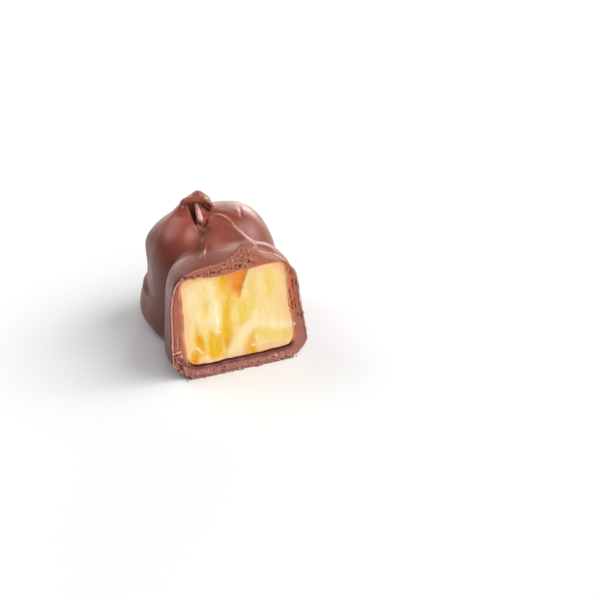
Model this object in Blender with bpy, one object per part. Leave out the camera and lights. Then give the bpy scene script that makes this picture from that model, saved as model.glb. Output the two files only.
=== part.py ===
"""Builds one hand-dipped filled chocolate, cut across near one end so that its cream filling shows.

The body is two rounded lobes in a row. The knife went through the front lobe, so the model keeps that lobe's
back part, the waist and the whole rear lobe. Everything is in metres, with +Z up. The chocolate stands on
z = 0, its long axis is Y and the cut face looks along -Y.
"""

import bmesh
import bpy
import numpy as np

MM = 0.001

# Whole piece
CUT_Y = -14.0 * MM
COAT_UNDER_CREAM = 2.1 * MM
FIT_GAP = 0.3 * MM

# Number of quads round a section and from the cut to the rear end
COAT_COLUMNS, COAT_ROWS = 84, 50
CREAM_COLUMNS, CREAM_ROWS = 40, 20
TOP_CROWDING = 0.35
FOOT_ROUNDING_POWER = 8.0


class Lobe:
    """A boxy dome about the long axis: its centre, half length, half width, and how far it goes up and down."""

    def __init__(self, centre_y, half_length, half_width, rise, drop, end_power, section_power):
        self.centre_y = centre_y
        self.half_length = half_length
        self.half_width = half_width
        self.rise = rise
        self.drop = drop
        self.end_power = end_power
        self.section_power = section_power

    def grown(self, by):
        """The same lobe with its surface moved out."""
        return Lobe(
            self.centre_y,
            self.half_length + by,
            self.half_width + by,
            self.rise + by,
            self.drop + by,
            self.end_power,
            self.section_power,
        )

    def radius(self, angle, y):
        """Distance from the long axis: a superellipse section that shrinks towards the lobe's ends."""
        reach = np.abs((y - self.centre_y) / self.half_length)
        shrink = np.clip(1 - reach**self.end_power, 0, 1) ** (1 / self.end_power)
        height = np.where(np.sin(angle) > 0, self.rise, self.drop)
        across = np.abs(np.cos(angle) / self.half_width) ** self.section_power
        upright = np.abs(np.sin(angle) / height) ** self.section_power
        return shrink * (across + upright) ** (-1 / self.section_power)


class Body:
    """Lobes in a row along an axis at a height, joined with a soft crease; the sides lean in towards the top."""

    def __init__(self, axis_height, floor, lean, blend_power, corner_power, lobes):
        self.axis_height = axis_height
        self.floor = floor
        self.lean = lean
        self.blend_power = blend_power
        self.corner_power = corner_power
        self.lobes = lobes

    def grown(self, by):
        lobes = [lobe.grown(by) for lobe in self.lobes]
        return Body(
            self.axis_height, self.floor - by, self.lean, self.blend_power, self.corner_power, lobes
        )

    def rear_end(self):
        return max(lobe.centre_y + lobe.half_length for lobe in self.lobes)

    def angle(self, u):
        """Share u of the way round, as an angle about the axis. The angles crowd at the top and at the corners."""
        turn = 2 * np.pi * u
        turn = turn - TOP_CROWDING * np.sin(turn - np.pi / 2)
        lobe = self.lobes[-1]
        height = np.where(np.sin(turn) > 0, lobe.rise, lobe.drop)
        across = np.sign(np.cos(turn)) * np.abs(np.cos(turn)) ** (2 / self.corner_power)
        upright = np.sign(np.sin(turn)) * np.abs(np.sin(turn)) ** (2 / self.corner_power)
        return np.arctan2(height * upright, lobe.half_width * across)

    def section(self, angle, y):
        """The points at these angles of the section at y, as x and z. The underside is flat, with a round edge."""
        powers = sum(lobe.radius(angle, y) ** self.blend_power for lobe in self.lobes)
        radius = powers ** (1 / self.blend_power)
        to_floor = (self.axis_height - self.floor) / np.maximum(-np.sin(angle), 1e-3)
        past_floor = (radius / to_floor) ** FOOT_ROUNDING_POWER
        radius = radius * (1 + past_floor) ** (-1 / FOOT_ROUNDING_POWER)
        x = radius * np.cos(angle) * (1 - self.lean * np.sin(angle))
        return x, self.axis_height + radius * np.sin(angle)


COAT = Body(
    axis_height=4.5 * MM,
    floor=0.0,
    lean=0.06,
    blend_power=9.0,
    corner_power=2.6,
    lobes=(
        Lobe(-12.0 * MM, 10.9 * MM, 11.2 * MM, 15.4 * MM, 7.6 * MM, 2.8, 4.5),
        Lobe(4.1 * MM, 10.1 * MM, 11.8 * MM, 16.6 * MM, 8.0 * MM, 2.5, 3.4),
    ),
)
CREAM = Body(
    axis_height=10.1 * MM,
    floor=COAT_UNDER_CREAM,
    lean=0.05,
    blend_power=4.0,
    corner_power=6.0,
    lobes=(
        Lobe(-12.0 * MM, 8.8 * MM, 8.75 * MM, 8.2 * MM, 10.5 * MM, 3.0, 12.0),
        Lobe(4.1 * MM, 7.6 * MM, 9.0 * MM, 8.6 * MM, 10.5 * MM, 2.6, 5.0),
    ),
)

# A sheet of chocolate lies over the crease between the lobes, from the cut to the foot of the stem: its outline in
# plan, the height of its rim at points along the piece, and how it dips inside the rim and falls outside it
SHEET_OUTLINE = (
    (-0.4, 1.5), (0.6, 2.3), (1.8, 2.2), (3.1, 1.1), (4.1, -0.9), (4.9, -3.2), (5.7, -5.6), (6.6, -8.0),
    (7.4, -10.2), (7.8, -13.0), (7.6, -17.0), (6.0, -20.0), (-3.0, -20.0), (-5.4, -16.0), (-5.6, -11.5),
    (-5.2, -8.2), (-4.1, -5.9), (-2.6, -4.0), (-1.2, -2.6), (-0.2, -1.5), (-0.5, -0.1),
)
SHEET_HEIGHT = ((-15.0, 19.3), (-11.0, 19.6), (-6.0, 19.9), (-3.0, 20.3), (0.0, 21.0), (2.5, 21.2))
SHEET_DIP, SHEET_DIP_REACH = 1.1 * MM, 2.0 * MM
SHEET_FALL, SHEET_FALL_REACH = 1.5, 1.5 * MM
SHEET_EDGE_ROUNDING = 0.6 * MM
TOP_BLEND = 0.3 * MM

# The crest beside the cut: its line in plan, its height along it, and the reach of its two flanks
CREST_LINE = ((2.7, -15.5), (2.8, -13.0), (3.1, -10.5), (3.0, -8.0))
CREST_HEIGHTS = (3.1, 2.8, 1.6, 0.4)
CREST_REACH_LEFT, CREST_REACH_RIGHT = 1.4 * MM, 1.8 * MM

# Swells and hollows of the top: centre x and y, reach to the left, right, front and rear, height
SWELLS = (
    (-1.3, 4.6, 3.6, 1.9, 1.5, 2.9, 2.9),
    (-2.7, 3.2, 0.8, 0.7, 0.8, 0.7, -1.1),
)

SWELL_POWER = 1.3

# Low bulges of the sides just above the table: centre y and z, reach along y and z, how far each side goes out
FOOT_BULGES = (
    (8.5, 3.8, 6.5, 3.8, 1.25, 0.8),
    (-9.5, 3.8, 4.2, 5.5, 0.8, 0.4),
)

# What the dipping fork pulled up: a lip that arches over a small pocket, and a stem below it
LIP_LINE = (
    (-4.0, 5.6, 21.4), (-3.7, 4.9, 22.2), (-3.2, 4.5, 22.8), (-2.4, 4.1, 23.3), (-1.2, 3.7, 23.5),
    (-0.2, 3.3, 23.2), (0.35, 2.9, 22.8), (0.75, 2.6, 22.2), (0.9, 2.5, 21.4),
)
LIP_THICKNESS = (0.7, 0.7, 0.7, 0.75, 0.8, 0.85, 0.9, 0.9, 0.8)
STEM_LINE = ((-1.9, 3.8, 23.2), (-1.95, 3.0, 22.5), (-1.95, 2.0, 21.7), (-1.9, 1.1, 20.8), (-1.8, 0.4, 20.0))
STEM_THICKNESS = (0.5, 0.5, 0.55, 0.7, 0.9)
CURVE_SAMPLES = 14


def clear_scene():
    for obj in list(bpy.data.objects):
        bpy.data.objects.remove(obj, do_unlink=True)


def new_collection(name):
    collection = bpy.data.collections.new(name)
    bpy.context.scene.collection.children.link(collection)
    return collection


def smooth_line(points, count):
    """A smooth curve through hand-placed points (Catmull-Rom), read at evenly spaced parameters."""
    points = np.asarray(points, float)
    padded = np.vstack([2 * points[0] - points[1], points, 2 * points[-1] - points[-2]])
    position = np.linspace(0, len(points) - 1, count)
    span = np.minimum(position.astype(int), len(points) - 2)
    t = (position - span)[:, None]
    before, start, end, after = (padded[span + step] for step in range(4))
    return 0.5 * (
        2 * start
        + (end - before) * t
        + (2 * before - 5 * start + 4 * end - after) * t**2
        + (3 * start - before - 3 * end + after) * t**3
    )


def nearest_on(line, x, y):
    """Distance from points in plan to a line given by its samples, and the sample that is nearest."""
    offset = np.stack([x, y], -1)[..., None, :] - line
    distance = np.hypot(offset[..., 0], offset[..., 1])
    nearest = np.argmin(distance, -1)
    return np.take_along_axis(distance, nearest[..., None], -1)[..., 0], nearest


def inside(outline, x, y):
    """Whether points in plan lie inside a closed outline: they do if a ray along +x crosses it an odd number of times."""
    ends = np.roll(outline, -1, axis=0)
    rise = ends[:, 1] - outline[:, 1]
    spans = (outline[:, 1] > y[..., None]) != (ends[:, 1] > y[..., None])
    share = (y[..., None] - outline[:, 1]) / np.where(rise == 0, 1, rise)
    crossing = outline[:, 0] + share * (ends[:, 0] - outline[:, 0])
    return (spans & (crossing > x[..., None])).sum(-1) % 2 == 1


def sheet_top(x, y):
    """Height of the sheet over the crease: a rim, a dip inside it, and a steep fall outside it."""
    closed = smooth_line(SHEET_OUTLINE + SHEET_OUTLINE[:1], 160) * MM
    distance, _ = nearest_on(closed, x, y)
    outside = np.where(inside(closed[:-1], x, y), -distance, distance)
    along, heights = np.array(SHEET_HEIGHT).T * MM
    fall = SHEET_EDGE_ROUNDING * np.logaddexp(0, outside / SHEET_EDGE_ROUNDING)
    dip = SHEET_DIP * (1 - np.exp(-((np.minimum(outside, 0) / SHEET_DIP_REACH) ** 2)))
    fade = np.clip((y - CUT_Y) / (8 * MM), 0, 1)
    return np.interp(y, along, heights) - fade * dip - SHEET_FALL * fall * (1 + fall / SHEET_FALL_REACH)


def crest_height(x, y):
    """The crest follows its line in plan and falls off as a bell on each flank."""
    line = smooth_line(CREST_LINE, 40) * MM
    heights = smooth_line(np.array(CREST_HEIGHTS)[:, None], 40)[:, 0] * MM
    distance, nearest = nearest_on(line, x, y)
    reach = np.where(x < line[nearest, 0], CREST_REACH_LEFT, CREST_REACH_RIGHT)
    return heights[nearest] * np.exp(-((distance / reach) ** 2))


def swells(x, y):
    total = 0
    for centre_x, centre_y, left, right, front, rear, height in SWELLS:
        across, along = x / MM - centre_x, y / MM - centre_y
        across = across / np.where(across < 0, left, right)
        along = along / np.where(along < 0, front, rear)
        total = total + height * MM * np.exp(-((across**2 + along**2) ** SWELL_POWER))
    return total


def foot_bulge(x, y, z):
    """How far the sides go out just above the table."""
    total = 0
    for centre_y, centre_z, reach_y, reach_z, left, right in FOOT_BULGES:
        bell = np.exp(-(((y / MM - centre_y) / reach_y) ** 2) - ((z / MM - centre_z) / reach_z) ** 2)
        total = total + np.where(x < 0, -left, right) * MM * bell
    return total


def coat_surface(u, v):
    """The coating's outside. v runs from the cut to the rear end."""
    y = CUT_Y + (COAT.rear_end() - CUT_Y) * np.sin(v * np.pi / 2)
    angle = COAT.angle(u)
    x, z = COAT.section(angle, y)
    top = np.clip(np.sin(angle) / 0.5, 0, 1) ** 2
    sheet = TOP_BLEND * np.logaddexp(0, (sheet_top(x, y) - z) / TOP_BLEND)
    z = z + top * (sheet + crest_height(x, y) + swells(x, y))
    side = np.clip(np.abs(x) / (6 * MM), 0, 1)
    return x + side * foot_bulge(x, y, z), y, z


def cream_surface(u, v, grown=0.0):
    """The filling's outside. With grown above 0 it is the hollow that holds it, which runs out past the cut."""
    body = CREAM.grown(grown)
    y = CUT_Y + (body.rear_end() - CUT_Y) * np.sin(v * np.pi / 2)
    x, z = body.section(body.angle(u), y)
    return x, np.where(v > 0, y, y - 5 * grown), z


def wrapped_solid(name, surface, columns, rows, collection):
    """Wraps a flat grid round the long axis: its sides meet, its far edge closes to a point, its near edge is capped."""
    bm = bmesh.new()
    bmesh.ops.create_grid(bm, x_segments=columns, y_segments=rows, size=0.5)
    flat = np.array([vertex.co for vertex in bm.verts])
    placed = np.stack(surface(flat[:, 0] + 0.5, flat[:, 1] + 0.5), -1)
    for vertex, position in zip(bm.verts, placed):
        vertex.co = position
    bmesh.ops.remove_doubles(bm, verts=bm.verts, dist=0.005 * MM)
    bmesh.ops.holes_fill(bm, edges=bm.edges, sides=0)
    bmesh.ops.triangulate(bm, faces=bm.faces)
    bmesh.ops.recalc_face_normals(bm, faces=bm.faces)
    mesh = bpy.data.meshes.new(name)
    bm.to_mesh(mesh)
    bm.free()
    obj = bpy.data.objects.new(name, mesh)
    collection.objects.link(obj)
    return obj


def string_solid(name, line, thickness, collection):
    """A string of chocolate: a bevelled curve with rounded thickness along it, made a welded mesh."""
    points = smooth_line(line, CURVE_SAMPLES) * MM
    radii = smooth_line(np.array(thickness)[:, None], CURVE_SAMPLES)[:, 0]
    curve = bpy.data.curves.new(name, "CURVE")
    curve.dimensions = "3D"
    curve.bevel_depth = MM
    curve.bevel_resolution = 3
    curve.use_fill_caps = True
    spline = curve.splines.new("POLY")
    spline.points.add(len(points) - 1)
    for point, place, radius in zip(spline.points, points, radii):
        point.co = (*place, 1)
        point.radius = radius
    guide = bpy.data.objects.new(name + "_line", curve)
    collection.objects.link(guide)
    graph = bpy.context.evaluated_depsgraph_get()
    mesh = bpy.data.meshes.new_from_object(guide.evaluated_get(graph))
    bpy.data.objects.remove(guide, do_unlink=True)
    bm = bmesh.new()
    bm.from_mesh(mesh)
    bmesh.ops.remove_doubles(bm, verts=bm.verts, dist=0.002 * MM)
    bmesh.ops.recalc_face_normals(bm, faces=bm.faces)
    bm.to_mesh(mesh)
    bm.free()
    obj = bpy.data.objects.new(name, mesh)
    collection.objects.link(obj)
    return obj


def apply_boolean(target, operation, collection):
    """Joins or cuts with every object of a collection, applies it, and removes those objects."""
    modifier = target.modifiers.new(operation.title(), "BOOLEAN")
    modifier.operation = operation
    modifier.operand_type = "COLLECTION"
    modifier.collection = collection
    modifier.solver = "EXACT"
    bpy.context.view_layer.update()
    graph = bpy.context.evaluated_depsgraph_get()
    mesh = bpy.data.meshes.new_from_object(target.evaluated_get(graph))
    target.modifiers.clear()
    target.data = mesh
    for obj in list(collection.objects):
        bpy.data.objects.remove(obj, do_unlink=True)
    bpy.data.collections.remove(collection)


def material(name, colour, roughness):
    made = bpy.data.materials.new(name)
    made.use_nodes = True
    shader = made.node_tree.nodes["Principled BSDF"]
    shader.inputs["Base Color"].default_value = (*colour, 1)
    shader.inputs["Roughness"].default_value = roughness
    shader.inputs["Metallic"].default_value = 0.0
    return made


def smooth(obj, crease_degrees):
    obj.data.shade_smooth()
    obj.data.set_sharp_from_angle(angle=np.radians(crease_degrees))


def make_coating(parts):
    coating = wrapped_solid("coating", coat_surface, COAT_COLUMNS, COAT_ROWS, parts)
    strings = new_collection("strings")
    string_solid("lip", LIP_LINE, LIP_THICKNESS, strings)
    string_solid("stem", STEM_LINE, STEM_THICKNESS, strings)
    apply_boolean(coating, "UNION", strings)
    hollows = new_collection("hollows")

    def hollow(u, v):
        return cream_surface(u, v, grown=FIT_GAP)

    wrapped_solid("cream_hollow", hollow, CREAM_COLUMNS, CREAM_ROWS, hollows)
    apply_boolean(coating, "DIFFERENCE", hollows)
    coating.data.materials.append(material("milk_chocolate", (0.32, 0.11, 0.07), 0.35))
    smooth(coating, 50)


def make_filling(parts):
    filling = wrapped_solid("cream_filling", cream_surface, CREAM_COLUMNS, CREAM_ROWS, parts)
    filling.data.materials.append(material("yellow_cream", (0.95, 0.72, 0.30), 0.45))
    smooth(filling, 50)


def main():
    clear_scene()
    parts = new_collection("filled_chocolate")
    make_coating(parts)
    make_filling(parts)


main()
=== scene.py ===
"""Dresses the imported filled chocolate: a hand-dipped milk chocolate, cut across so that its cream filling shows.

The file is laid out as a Blender add-on and run as a script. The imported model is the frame: its coating and its
filling ride on one body, "root". Each piece below is a surface worked out with numpy. Points are in millimetres
until they go into a mesh, with +Z up, the chocolate standing on z = 0 and its cut face looking along -Y. The last
whole number of each noise or cells call is its seed.
"""

from typing import NamedTuple

import bpy
import numpy as np
from mathutils import Matrix


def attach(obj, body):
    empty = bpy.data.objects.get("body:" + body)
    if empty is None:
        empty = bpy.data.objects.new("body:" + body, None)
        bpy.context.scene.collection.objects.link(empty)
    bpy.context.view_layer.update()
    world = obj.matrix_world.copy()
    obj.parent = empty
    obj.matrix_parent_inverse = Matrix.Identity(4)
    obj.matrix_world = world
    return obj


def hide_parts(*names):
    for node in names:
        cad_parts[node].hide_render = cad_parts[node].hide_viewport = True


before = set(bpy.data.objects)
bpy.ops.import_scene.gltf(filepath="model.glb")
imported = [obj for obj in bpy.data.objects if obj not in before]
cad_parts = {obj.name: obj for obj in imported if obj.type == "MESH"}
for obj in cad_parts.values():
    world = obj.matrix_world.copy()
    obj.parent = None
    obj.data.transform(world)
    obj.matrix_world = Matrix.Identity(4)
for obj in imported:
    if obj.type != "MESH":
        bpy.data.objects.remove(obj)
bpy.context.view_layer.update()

bl_info = {
    "name": "Filled chocolate",
    "version": (1, 0, 0),
    "blender": (4, 5, 0),
    "location": "View3D > Sidebar > Chocolate",
    "description": "Builds a cut hand-dipped chocolate with a cream filling on its packed frame",
    "category": "Add Mesh",
}

MM = 0.001
BODY = "root"

# Where the knife went through, the middle of the cream, and the room between the cream and the coat
CUT_Y, CREAM_MIDDLE = -14.0, 9.5
COAT_UNDER_CREAM, HOLLOW_GAP = 2.1, 0.1

# How sharp the edge of the flat foot is, and how much closer together the columns stand on the top
FOOT_POWER, TOP_CROWDING = 8.0, 0.35

# Quads round and along each surface
COAT_COLUMNS, COAT_ROWS, HOLLOW_ROWS = 420, 190, 20
CUT_COLUMNS, CUT_FRONT_ROWS = 1100, 56
CREAM_COLUMNS, CREAM_FACE_ROWS, CREAM_SIDE_ROWS = 400, 90, 30
PART_COLUMNS, PART_ROWS, FOLD_COLUMNS, FOLD_ROWS = 48, 120, 24, 50
CRUMB_COLUMNS, CRUMB_ROWS = 8, 5


# Repeatable noise

# Factors that spread the bits of a lattice corner's three numbers and of the seed, and the steps that mix them
CORNER_FACTORS = (73856093, 19349663, 83492791)
SEED_FACTOR, SEED_START = 2654435, 97
MIXING_STEPS = ((16, 0x7FEB352D), (15, 0x846CA68B), (16, 1))


def lattice_value(corner, seed):
    """A value from 0 to 1 for each corner of a whole-number lattice: its three numbers are mixed as 32-bit integers."""
    whole = corner.astype(np.int64).astype(np.uint32)
    x, y, z = (whole[..., axis] * np.uint32(factor) for axis, factor in enumerate(CORNER_FACTORS))
    stirred = x ^ y ^ z ^ np.uint32(seed * SEED_FACTOR + SEED_START)
    for shift, factor in MIXING_STEPS:
        stirred = (stirred ^ (stirred >> np.uint32(shift))) * np.uint32(factor)
    return stirred / 2.0**32


def noise(points, size, seed=0):
    """Smooth noise from -1 to 1: lattice values a size apart, eased between the eight corners round each point."""
    place = np.asarray(points, float) / size
    low = np.floor(place)
    part = place - low
    part = part**3 * (part * (part * 6 - 15) + 10)
    total = 0.0
    for corner in np.ndindex(2, 2, 2):
        corner = np.array(corner)
        weight = np.where(corner == 1, part, 1 - part).prod(-1)
        total = total + weight * lattice_value(low + corner, seed)
    return total * 2 - 1


def layered_noise(points, size, seed, layers=3):
    """Noise with finer noise on it: each layer has half the size and half the height of the one before."""
    return sum(noise(points, size / 2**layer, seed + layer) / 2**layer for layer in range(layers))


def cells(points, size, seed):
    """Scattered spots, one in each lattice cube: the distance to the nearest, in sizes, and that spot's own value from
    0 to 1."""
    place = np.asarray(points, float) / size
    low = np.floor(place)
    nearest = np.full(place.shape[:-1], np.inf)
    own = np.zeros(place.shape[:-1])
    for step in np.ndindex(3, 3, 3):
        cube = low + np.array(step) - 1
        middle = cube + np.stack([lattice_value(cube, seed + axis) for axis in range(3)], -1)
        distance = np.sqrt(((place - middle) ** 2).sum(-1))
        closer = distance < nearest
        nearest = np.where(closer, distance, nearest)
        own = np.where(closer, lattice_value(cube, seed + 3), own)
    return nearest, own


# Lines and masks


def ease(value, low, high):
    """0 below low, 1 above high, and a smooth step between. High may be below low."""
    share = np.clip((value - low) / (high - low), 0, 1)
    return share * share * (3 - 2 * share)


def bell(distance, reach):
    """1 at no distance, falling away smoothly to a third at its reach."""
    return np.exp(-((distance / reach) ** 2))


def spot(x, y, centre_x, centre_y, reach_x, reach_y):
    """A round bell with its own reach along each axis."""
    return np.exp(-(((x - centre_x) / reach_x) ** 2) - ((y - centre_y) / reach_y) ** 2)


def turns(count):
    """Angles evenly spaced round a circle."""
    return 2 * np.pi * np.arange(count) / count


def lengths_along(line):
    """How far along a line each of its points is."""
    return np.append(0, np.cumsum(np.linalg.norm(np.diff(line, axis=0), axis=1)))


def smooth_line(points, count):
    """A smooth curve through given points (Catmull-Rom), read at evenly spaced parameters."""
    points = np.asarray(points, float)
    padded = np.vstack([2 * points[0] - points[1], points, 2 * points[-1] - points[-2]])
    position = np.linspace(0, len(points) - 1, count)
    span = np.minimum(position.astype(int), len(points) - 2)
    t = (position - span)[:, None]
    before, start, end, after = (padded[span + step] for step in range(4))
    return 0.5 * (
        2 * start
        + (end - before) * t
        + (2 * before - 5 * start + 4 * end - after) * t**2
        + (3 * start - before - 3 * end + after) * t**3
    )


def nearest_on(line, x, y):
    """Distance from points in a plane to a line given by its samples, and the sample that is nearest."""
    distance = np.hypot(x[..., None] - line[:, 0], y[..., None] - line[:, 1])
    nearest = np.argmin(distance, -1)
    return np.take_along_axis(distance, nearest[..., None], -1)[..., 0], nearest


def on_plane(x, z):
    """Places for the noise from points of the cut plane."""
    return np.stack([x, z, np.zeros_like(x)], -1)


def stroke(x, z, line, soft):
    """A brush stroke on the cut plane: 1 inside the line's own half width, falling to 0 over a soft edge. Each point of
    the line is x, z and half width, and the edge is shifted by noise so that it isn't drawn with a ruler."""
    samples = smooth_line(line, 12 * len(line))
    place = on_plane(x, z)
    shift = min(0.3, 0.2 + 0.2 * soft)
    x = x + shift * noise(place, 1.5, 41) + 0.15 * shift * noise(place, 0.4, 42)
    z = z + shift * noise(place, 1.5, 43) + 0.15 * shift * noise(place, 0.4, 44)
    distance, nearest = nearest_on(samples[:, :2], x, z)
    return ease(distance - samples[nearest, 2], soft / 2, -soft / 2)


def inside(outline, x, y):
    """Whether points in a plane lie inside a closed outline: a ray along +x crosses it an odd number of times."""
    ends = np.roll(outline, -1, axis=0)
    rise = ends[:, 1] - outline[:, 1]
    spans = (outline[:, 1] > y[..., None]) != (ends[:, 1] > y[..., None])
    share = (y[..., None] - outline[:, 1]) / np.where(rise == 0, 1, rise)
    crossing = outline[:, 0] + share * (ends[:, 0] - outline[:, 0])
    return (spans & (crossing > x[..., None])).sum(-1) % 2 == 1


def signed_power(value, power):
    """A power of a number's size that keeps its sign."""
    return np.sign(value) * np.abs(value) ** power


# The body's shape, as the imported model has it


class Lobe(NamedTuple):
    """A boxy dome about the long axis: its centre, half length, half width, how far it goes up and down, and how boxy
    it is along its length and in section."""

    centre_y: float
    half_length: float
    half_width: float
    rise: float
    drop: float
    end_power: float
    section_power: float

    def grown(self, by):
        """The same lobe with its surface moved out."""
        sides = ("half_length", "half_width", "rise", "drop")
        return self._replace(**{side: getattr(self, side) + by for side in sides})

    def radius(self, angle, y):
        """Distance from the long axis: a superellipse section that shrinks towards the lobe's ends."""
        reach = np.abs((y - self.centre_y) / self.half_length)
        shrink = np.clip(1 - reach**self.end_power, 0, 1) ** (1 / self.end_power)
        height = np.where(np.sin(angle) > 0, self.rise, self.drop)
        across = np.abs(np.cos(angle) / self.half_width) ** self.section_power
        upright = np.abs(np.sin(angle) / height) ** self.section_power
        return shrink * (across + upright) ** (-1 / self.section_power)


class Body(NamedTuple):
    """Lobes in a row along an axis at a height, over a flat floor: how much their sides lean in towards the top, how
    sharp the crease between them is, how much the angles crowd at the corners, and the lobes."""

    axis_height: float
    floor: float
    lean: float
    blend_power: float
    corner_power: float
    lobes: tuple

    def grown(self, by):
        """The same body with its surface moved out."""
        return self._replace(floor=self.floor - by, lobes=tuple(lobe.grown(by) for lobe in self.lobes))

    def rear_end(self):
        """The y at which the last lobe ends."""
        return max(lobe.centre_y + lobe.half_length for lobe in self.lobes)

    def angle(self, u):
        """Share u of the way round, as an angle about the axis. The angles crowd at the top and at the corners."""
        turn = 2 * np.pi * u
        turn = turn - TOP_CROWDING * np.sin(turn - np.pi / 2)
        lobe = self.lobes[-1]
        height = np.where(np.sin(turn) > 0, lobe.rise, lobe.drop)
        across, upright = (signed_power(side(turn), 2 / self.corner_power) for side in (np.cos, np.sin))
        return np.arctan2(height * upright, lobe.half_width * across)

    def section(self, angle, y):
        """The points at these angles of the section at y, as x and z. The underside is flat, with a round edge."""
        powers = sum(lobe.radius(angle, y) ** self.blend_power for lobe in self.lobes)
        radius = powers ** (1 / self.blend_power)
        to_floor = (self.axis_height - self.floor) / np.maximum(-np.sin(angle), 1e-3)
        radius = radius * (1 + (radius / to_floor) ** FOOT_POWER) ** (-1 / FOOT_POWER)
        x = radius * np.cos(angle) * (1 - self.lean * np.sin(angle))
        return x, self.axis_height + radius * np.sin(angle)


COAT = Body(
    4.5, 0.0, 0.06, 9.0, 2.6,
    (Lobe(-12.0, 10.9, 11.2, 15.4, 7.6, 2.8, 4.5), Lobe(4.1, 10.1, 11.8, 16.6, 8.0, 2.5, 3.4)),
)
CREAM = Body(
    10.1, COAT_UNDER_CREAM, 0.05, 4.0, 6.0,
    (Lobe(-12.0, 8.8, 8.75, 8.2, 10.5, 3.0, 12.0), Lobe(4.1, 7.6, 9.0, 8.6, 10.5, 2.6, 5.0)),
)

# The sheet over the crease between the lobes: outline in plan, rim height along the piece, dip inside, fall outside
SHEET_OUTLINE = (
    (-0.9, 0.0), (-0.4, 1.1), (0.7, 1.5), (1.8, 1.0), (2.6, 0.2), (3.4, -1.1), (4.1, -3.0), (4.7, -5.0), (5.4, -7.1),
    (6.0, -9.0), (6.7, -10.7), (7.5, -12.4), (7.8, -14.5), (7.6, -17.0), (6.0, -20.0), (-3.0, -20.0), (-4.6, -16.0),
    (-4.3, -12.5), (-3.6, -9.6), (-3.0, -7.4), (-2.6, -5.8), (-2.2, -4.4), (-1.4, -2.9), (-0.7, -2.1), (-0.1, -1.5),
    (-0.6, -0.8),
)
SHEET_HEIGHT = ((-15.0, 19.3), (-11.0, 19.6), (-6.0, 19.9), (-3.0, 20.3), (0.0, 20.7), (2.5, 20.8))
SHEET_DIP, SHEET_DIP_REACH = 0.7, 2.0
SHEET_FALL, SHEET_FALL_REACH, SHEET_EDGE_ROUNDING = 1.5, 1.5, 0.6
TOP_BLEND = 0.3

# The crest beside the cut: x, y and height of its top line, and its reach to the rear, to the front and to the left
CREST_LINE = (
    (2.4, -17.0, 3.0), (2.9, -14.6, 3.1), (3.3, -13.4, 2.9), (4.1, -12.7, 2.2), (5.2, -12.4, 1.6), (6.4, -12.3, 1.2),
    (7.8, -12.3, 0.8), (9.2, -12.5, 0.4),
)
CREST_REACH_REAR, CREST_REACH_FRONT, CREST_REACH_LEFT = 1.0, 1.8, 2.5
CREST_LEFT_FADE = 0.9

# Swells and hollows of the top: centre x and y, reach to the left, right, front and rear, height
SWELLS = (
    (-1.3, 4.8, 3.6, 1.9, 1.5, 2.9, 2.9), (-2.25, 3.8, 0.6, 0.75, 0.6, 0.5, -3.6),
    (-2.5, 2.4, 0.26, 0.34, 1.5, 1.4, -1.3), (-2.6, -1.0, 1.8, 1.1, 1.4, 1.4, -1.0),
    (-1.1, 0.6, 0.9, 0.8, 0.8, 0.8, -0.9), (-3.1, -5.6, 0.7, 0.6, 0.6, 0.7, 0.12),
)
SWELL_POWER = 1.3

# Bulges of the sides: centre y and z, reach in y and z, how far out on the left and on the right
SIDE_BULGES = ((8.5, 3.8, 6.5, 3.8, 1.25, 0.8), (-9.5, 3.8, 4.2, 5.5, 0.8, 0.4), (8.5, 16.0, 4.5, 2.6, 0.8, 0.0))
# The step where the thick foot of the rear lobe's left side ends
STEP_OUT, STEP_HEIGHT, STEP_SOFTNESS, STEP_MIDDLE, STEP_REACH = 0.65, 8.4, 0.7, 6.5, 6.5

# How the hollow's outline departs from its even shape: the top sinks everywhere, and more at the sag left of its middle
TOP_SINK, SAG, SAG_X, SAG_REACH = 0.12, 0.58, -1.0, 3.4
CORNER_OUT, SIDE_IN, SIDE_IN_HEIGHT, SIDE_IN_REACH = 0.15, 0.3, 9.3, 2.0
EDGE_WANDER = 0.11

# The share of its width by which the coat's foot draws in, and how much of that it keeps behind the cut
FOOT_TUCK, FOOT_TUCK_REAR_LEFT, FOOT_TUCK_REAR_RIGHT = 0.17, 0.1, 0.4

# Fine lines in the set chocolate: the raised rim of the sheet, ripples behind it, and one crease down the rear dome
RIM_WIDTH, RIM_LOW_SHARE = 0.32, 0.65
RIPPLE_SPACING, RIPPLE_FADE = 1.5, 1.7
REAR_CREASE = ((5.2, 0.0), (5.4, 1.5), (5.7, 3.0), (6.1, 4.6))
REAR_CREASE_DEPTH, REAR_CREASE_WIDTH = 0.16, 0.3


def sheet_side(x, y):
    """How far points in plan are outside the sheet's outline, negative inside it."""
    closed = smooth_line(SHEET_OUTLINE + SHEET_OUTLINE[:1], 160)
    distance, _ = nearest_on(closed, x, y)
    return np.where(inside(closed[:-1], x, y), -distance, distance)


def sheet_top(y, outside):
    """Height of the sheet over the crease: a rim, a dip inside it, and a steep fall outside it."""
    along, heights = np.array(SHEET_HEIGHT).T
    fall = SHEET_EDGE_ROUNDING * np.logaddexp(0, outside / SHEET_EDGE_ROUNDING)
    dip = SHEET_DIP * (1 - bell(np.minimum(outside, 0), SHEET_DIP_REACH))
    fade = ease(y, CUT_Y - 2, CUT_Y + 9)
    return np.interp(y, along, heights) - fade * dip - SHEET_FALL * fall * (1 + fall / SHEET_FALL_REACH)


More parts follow.
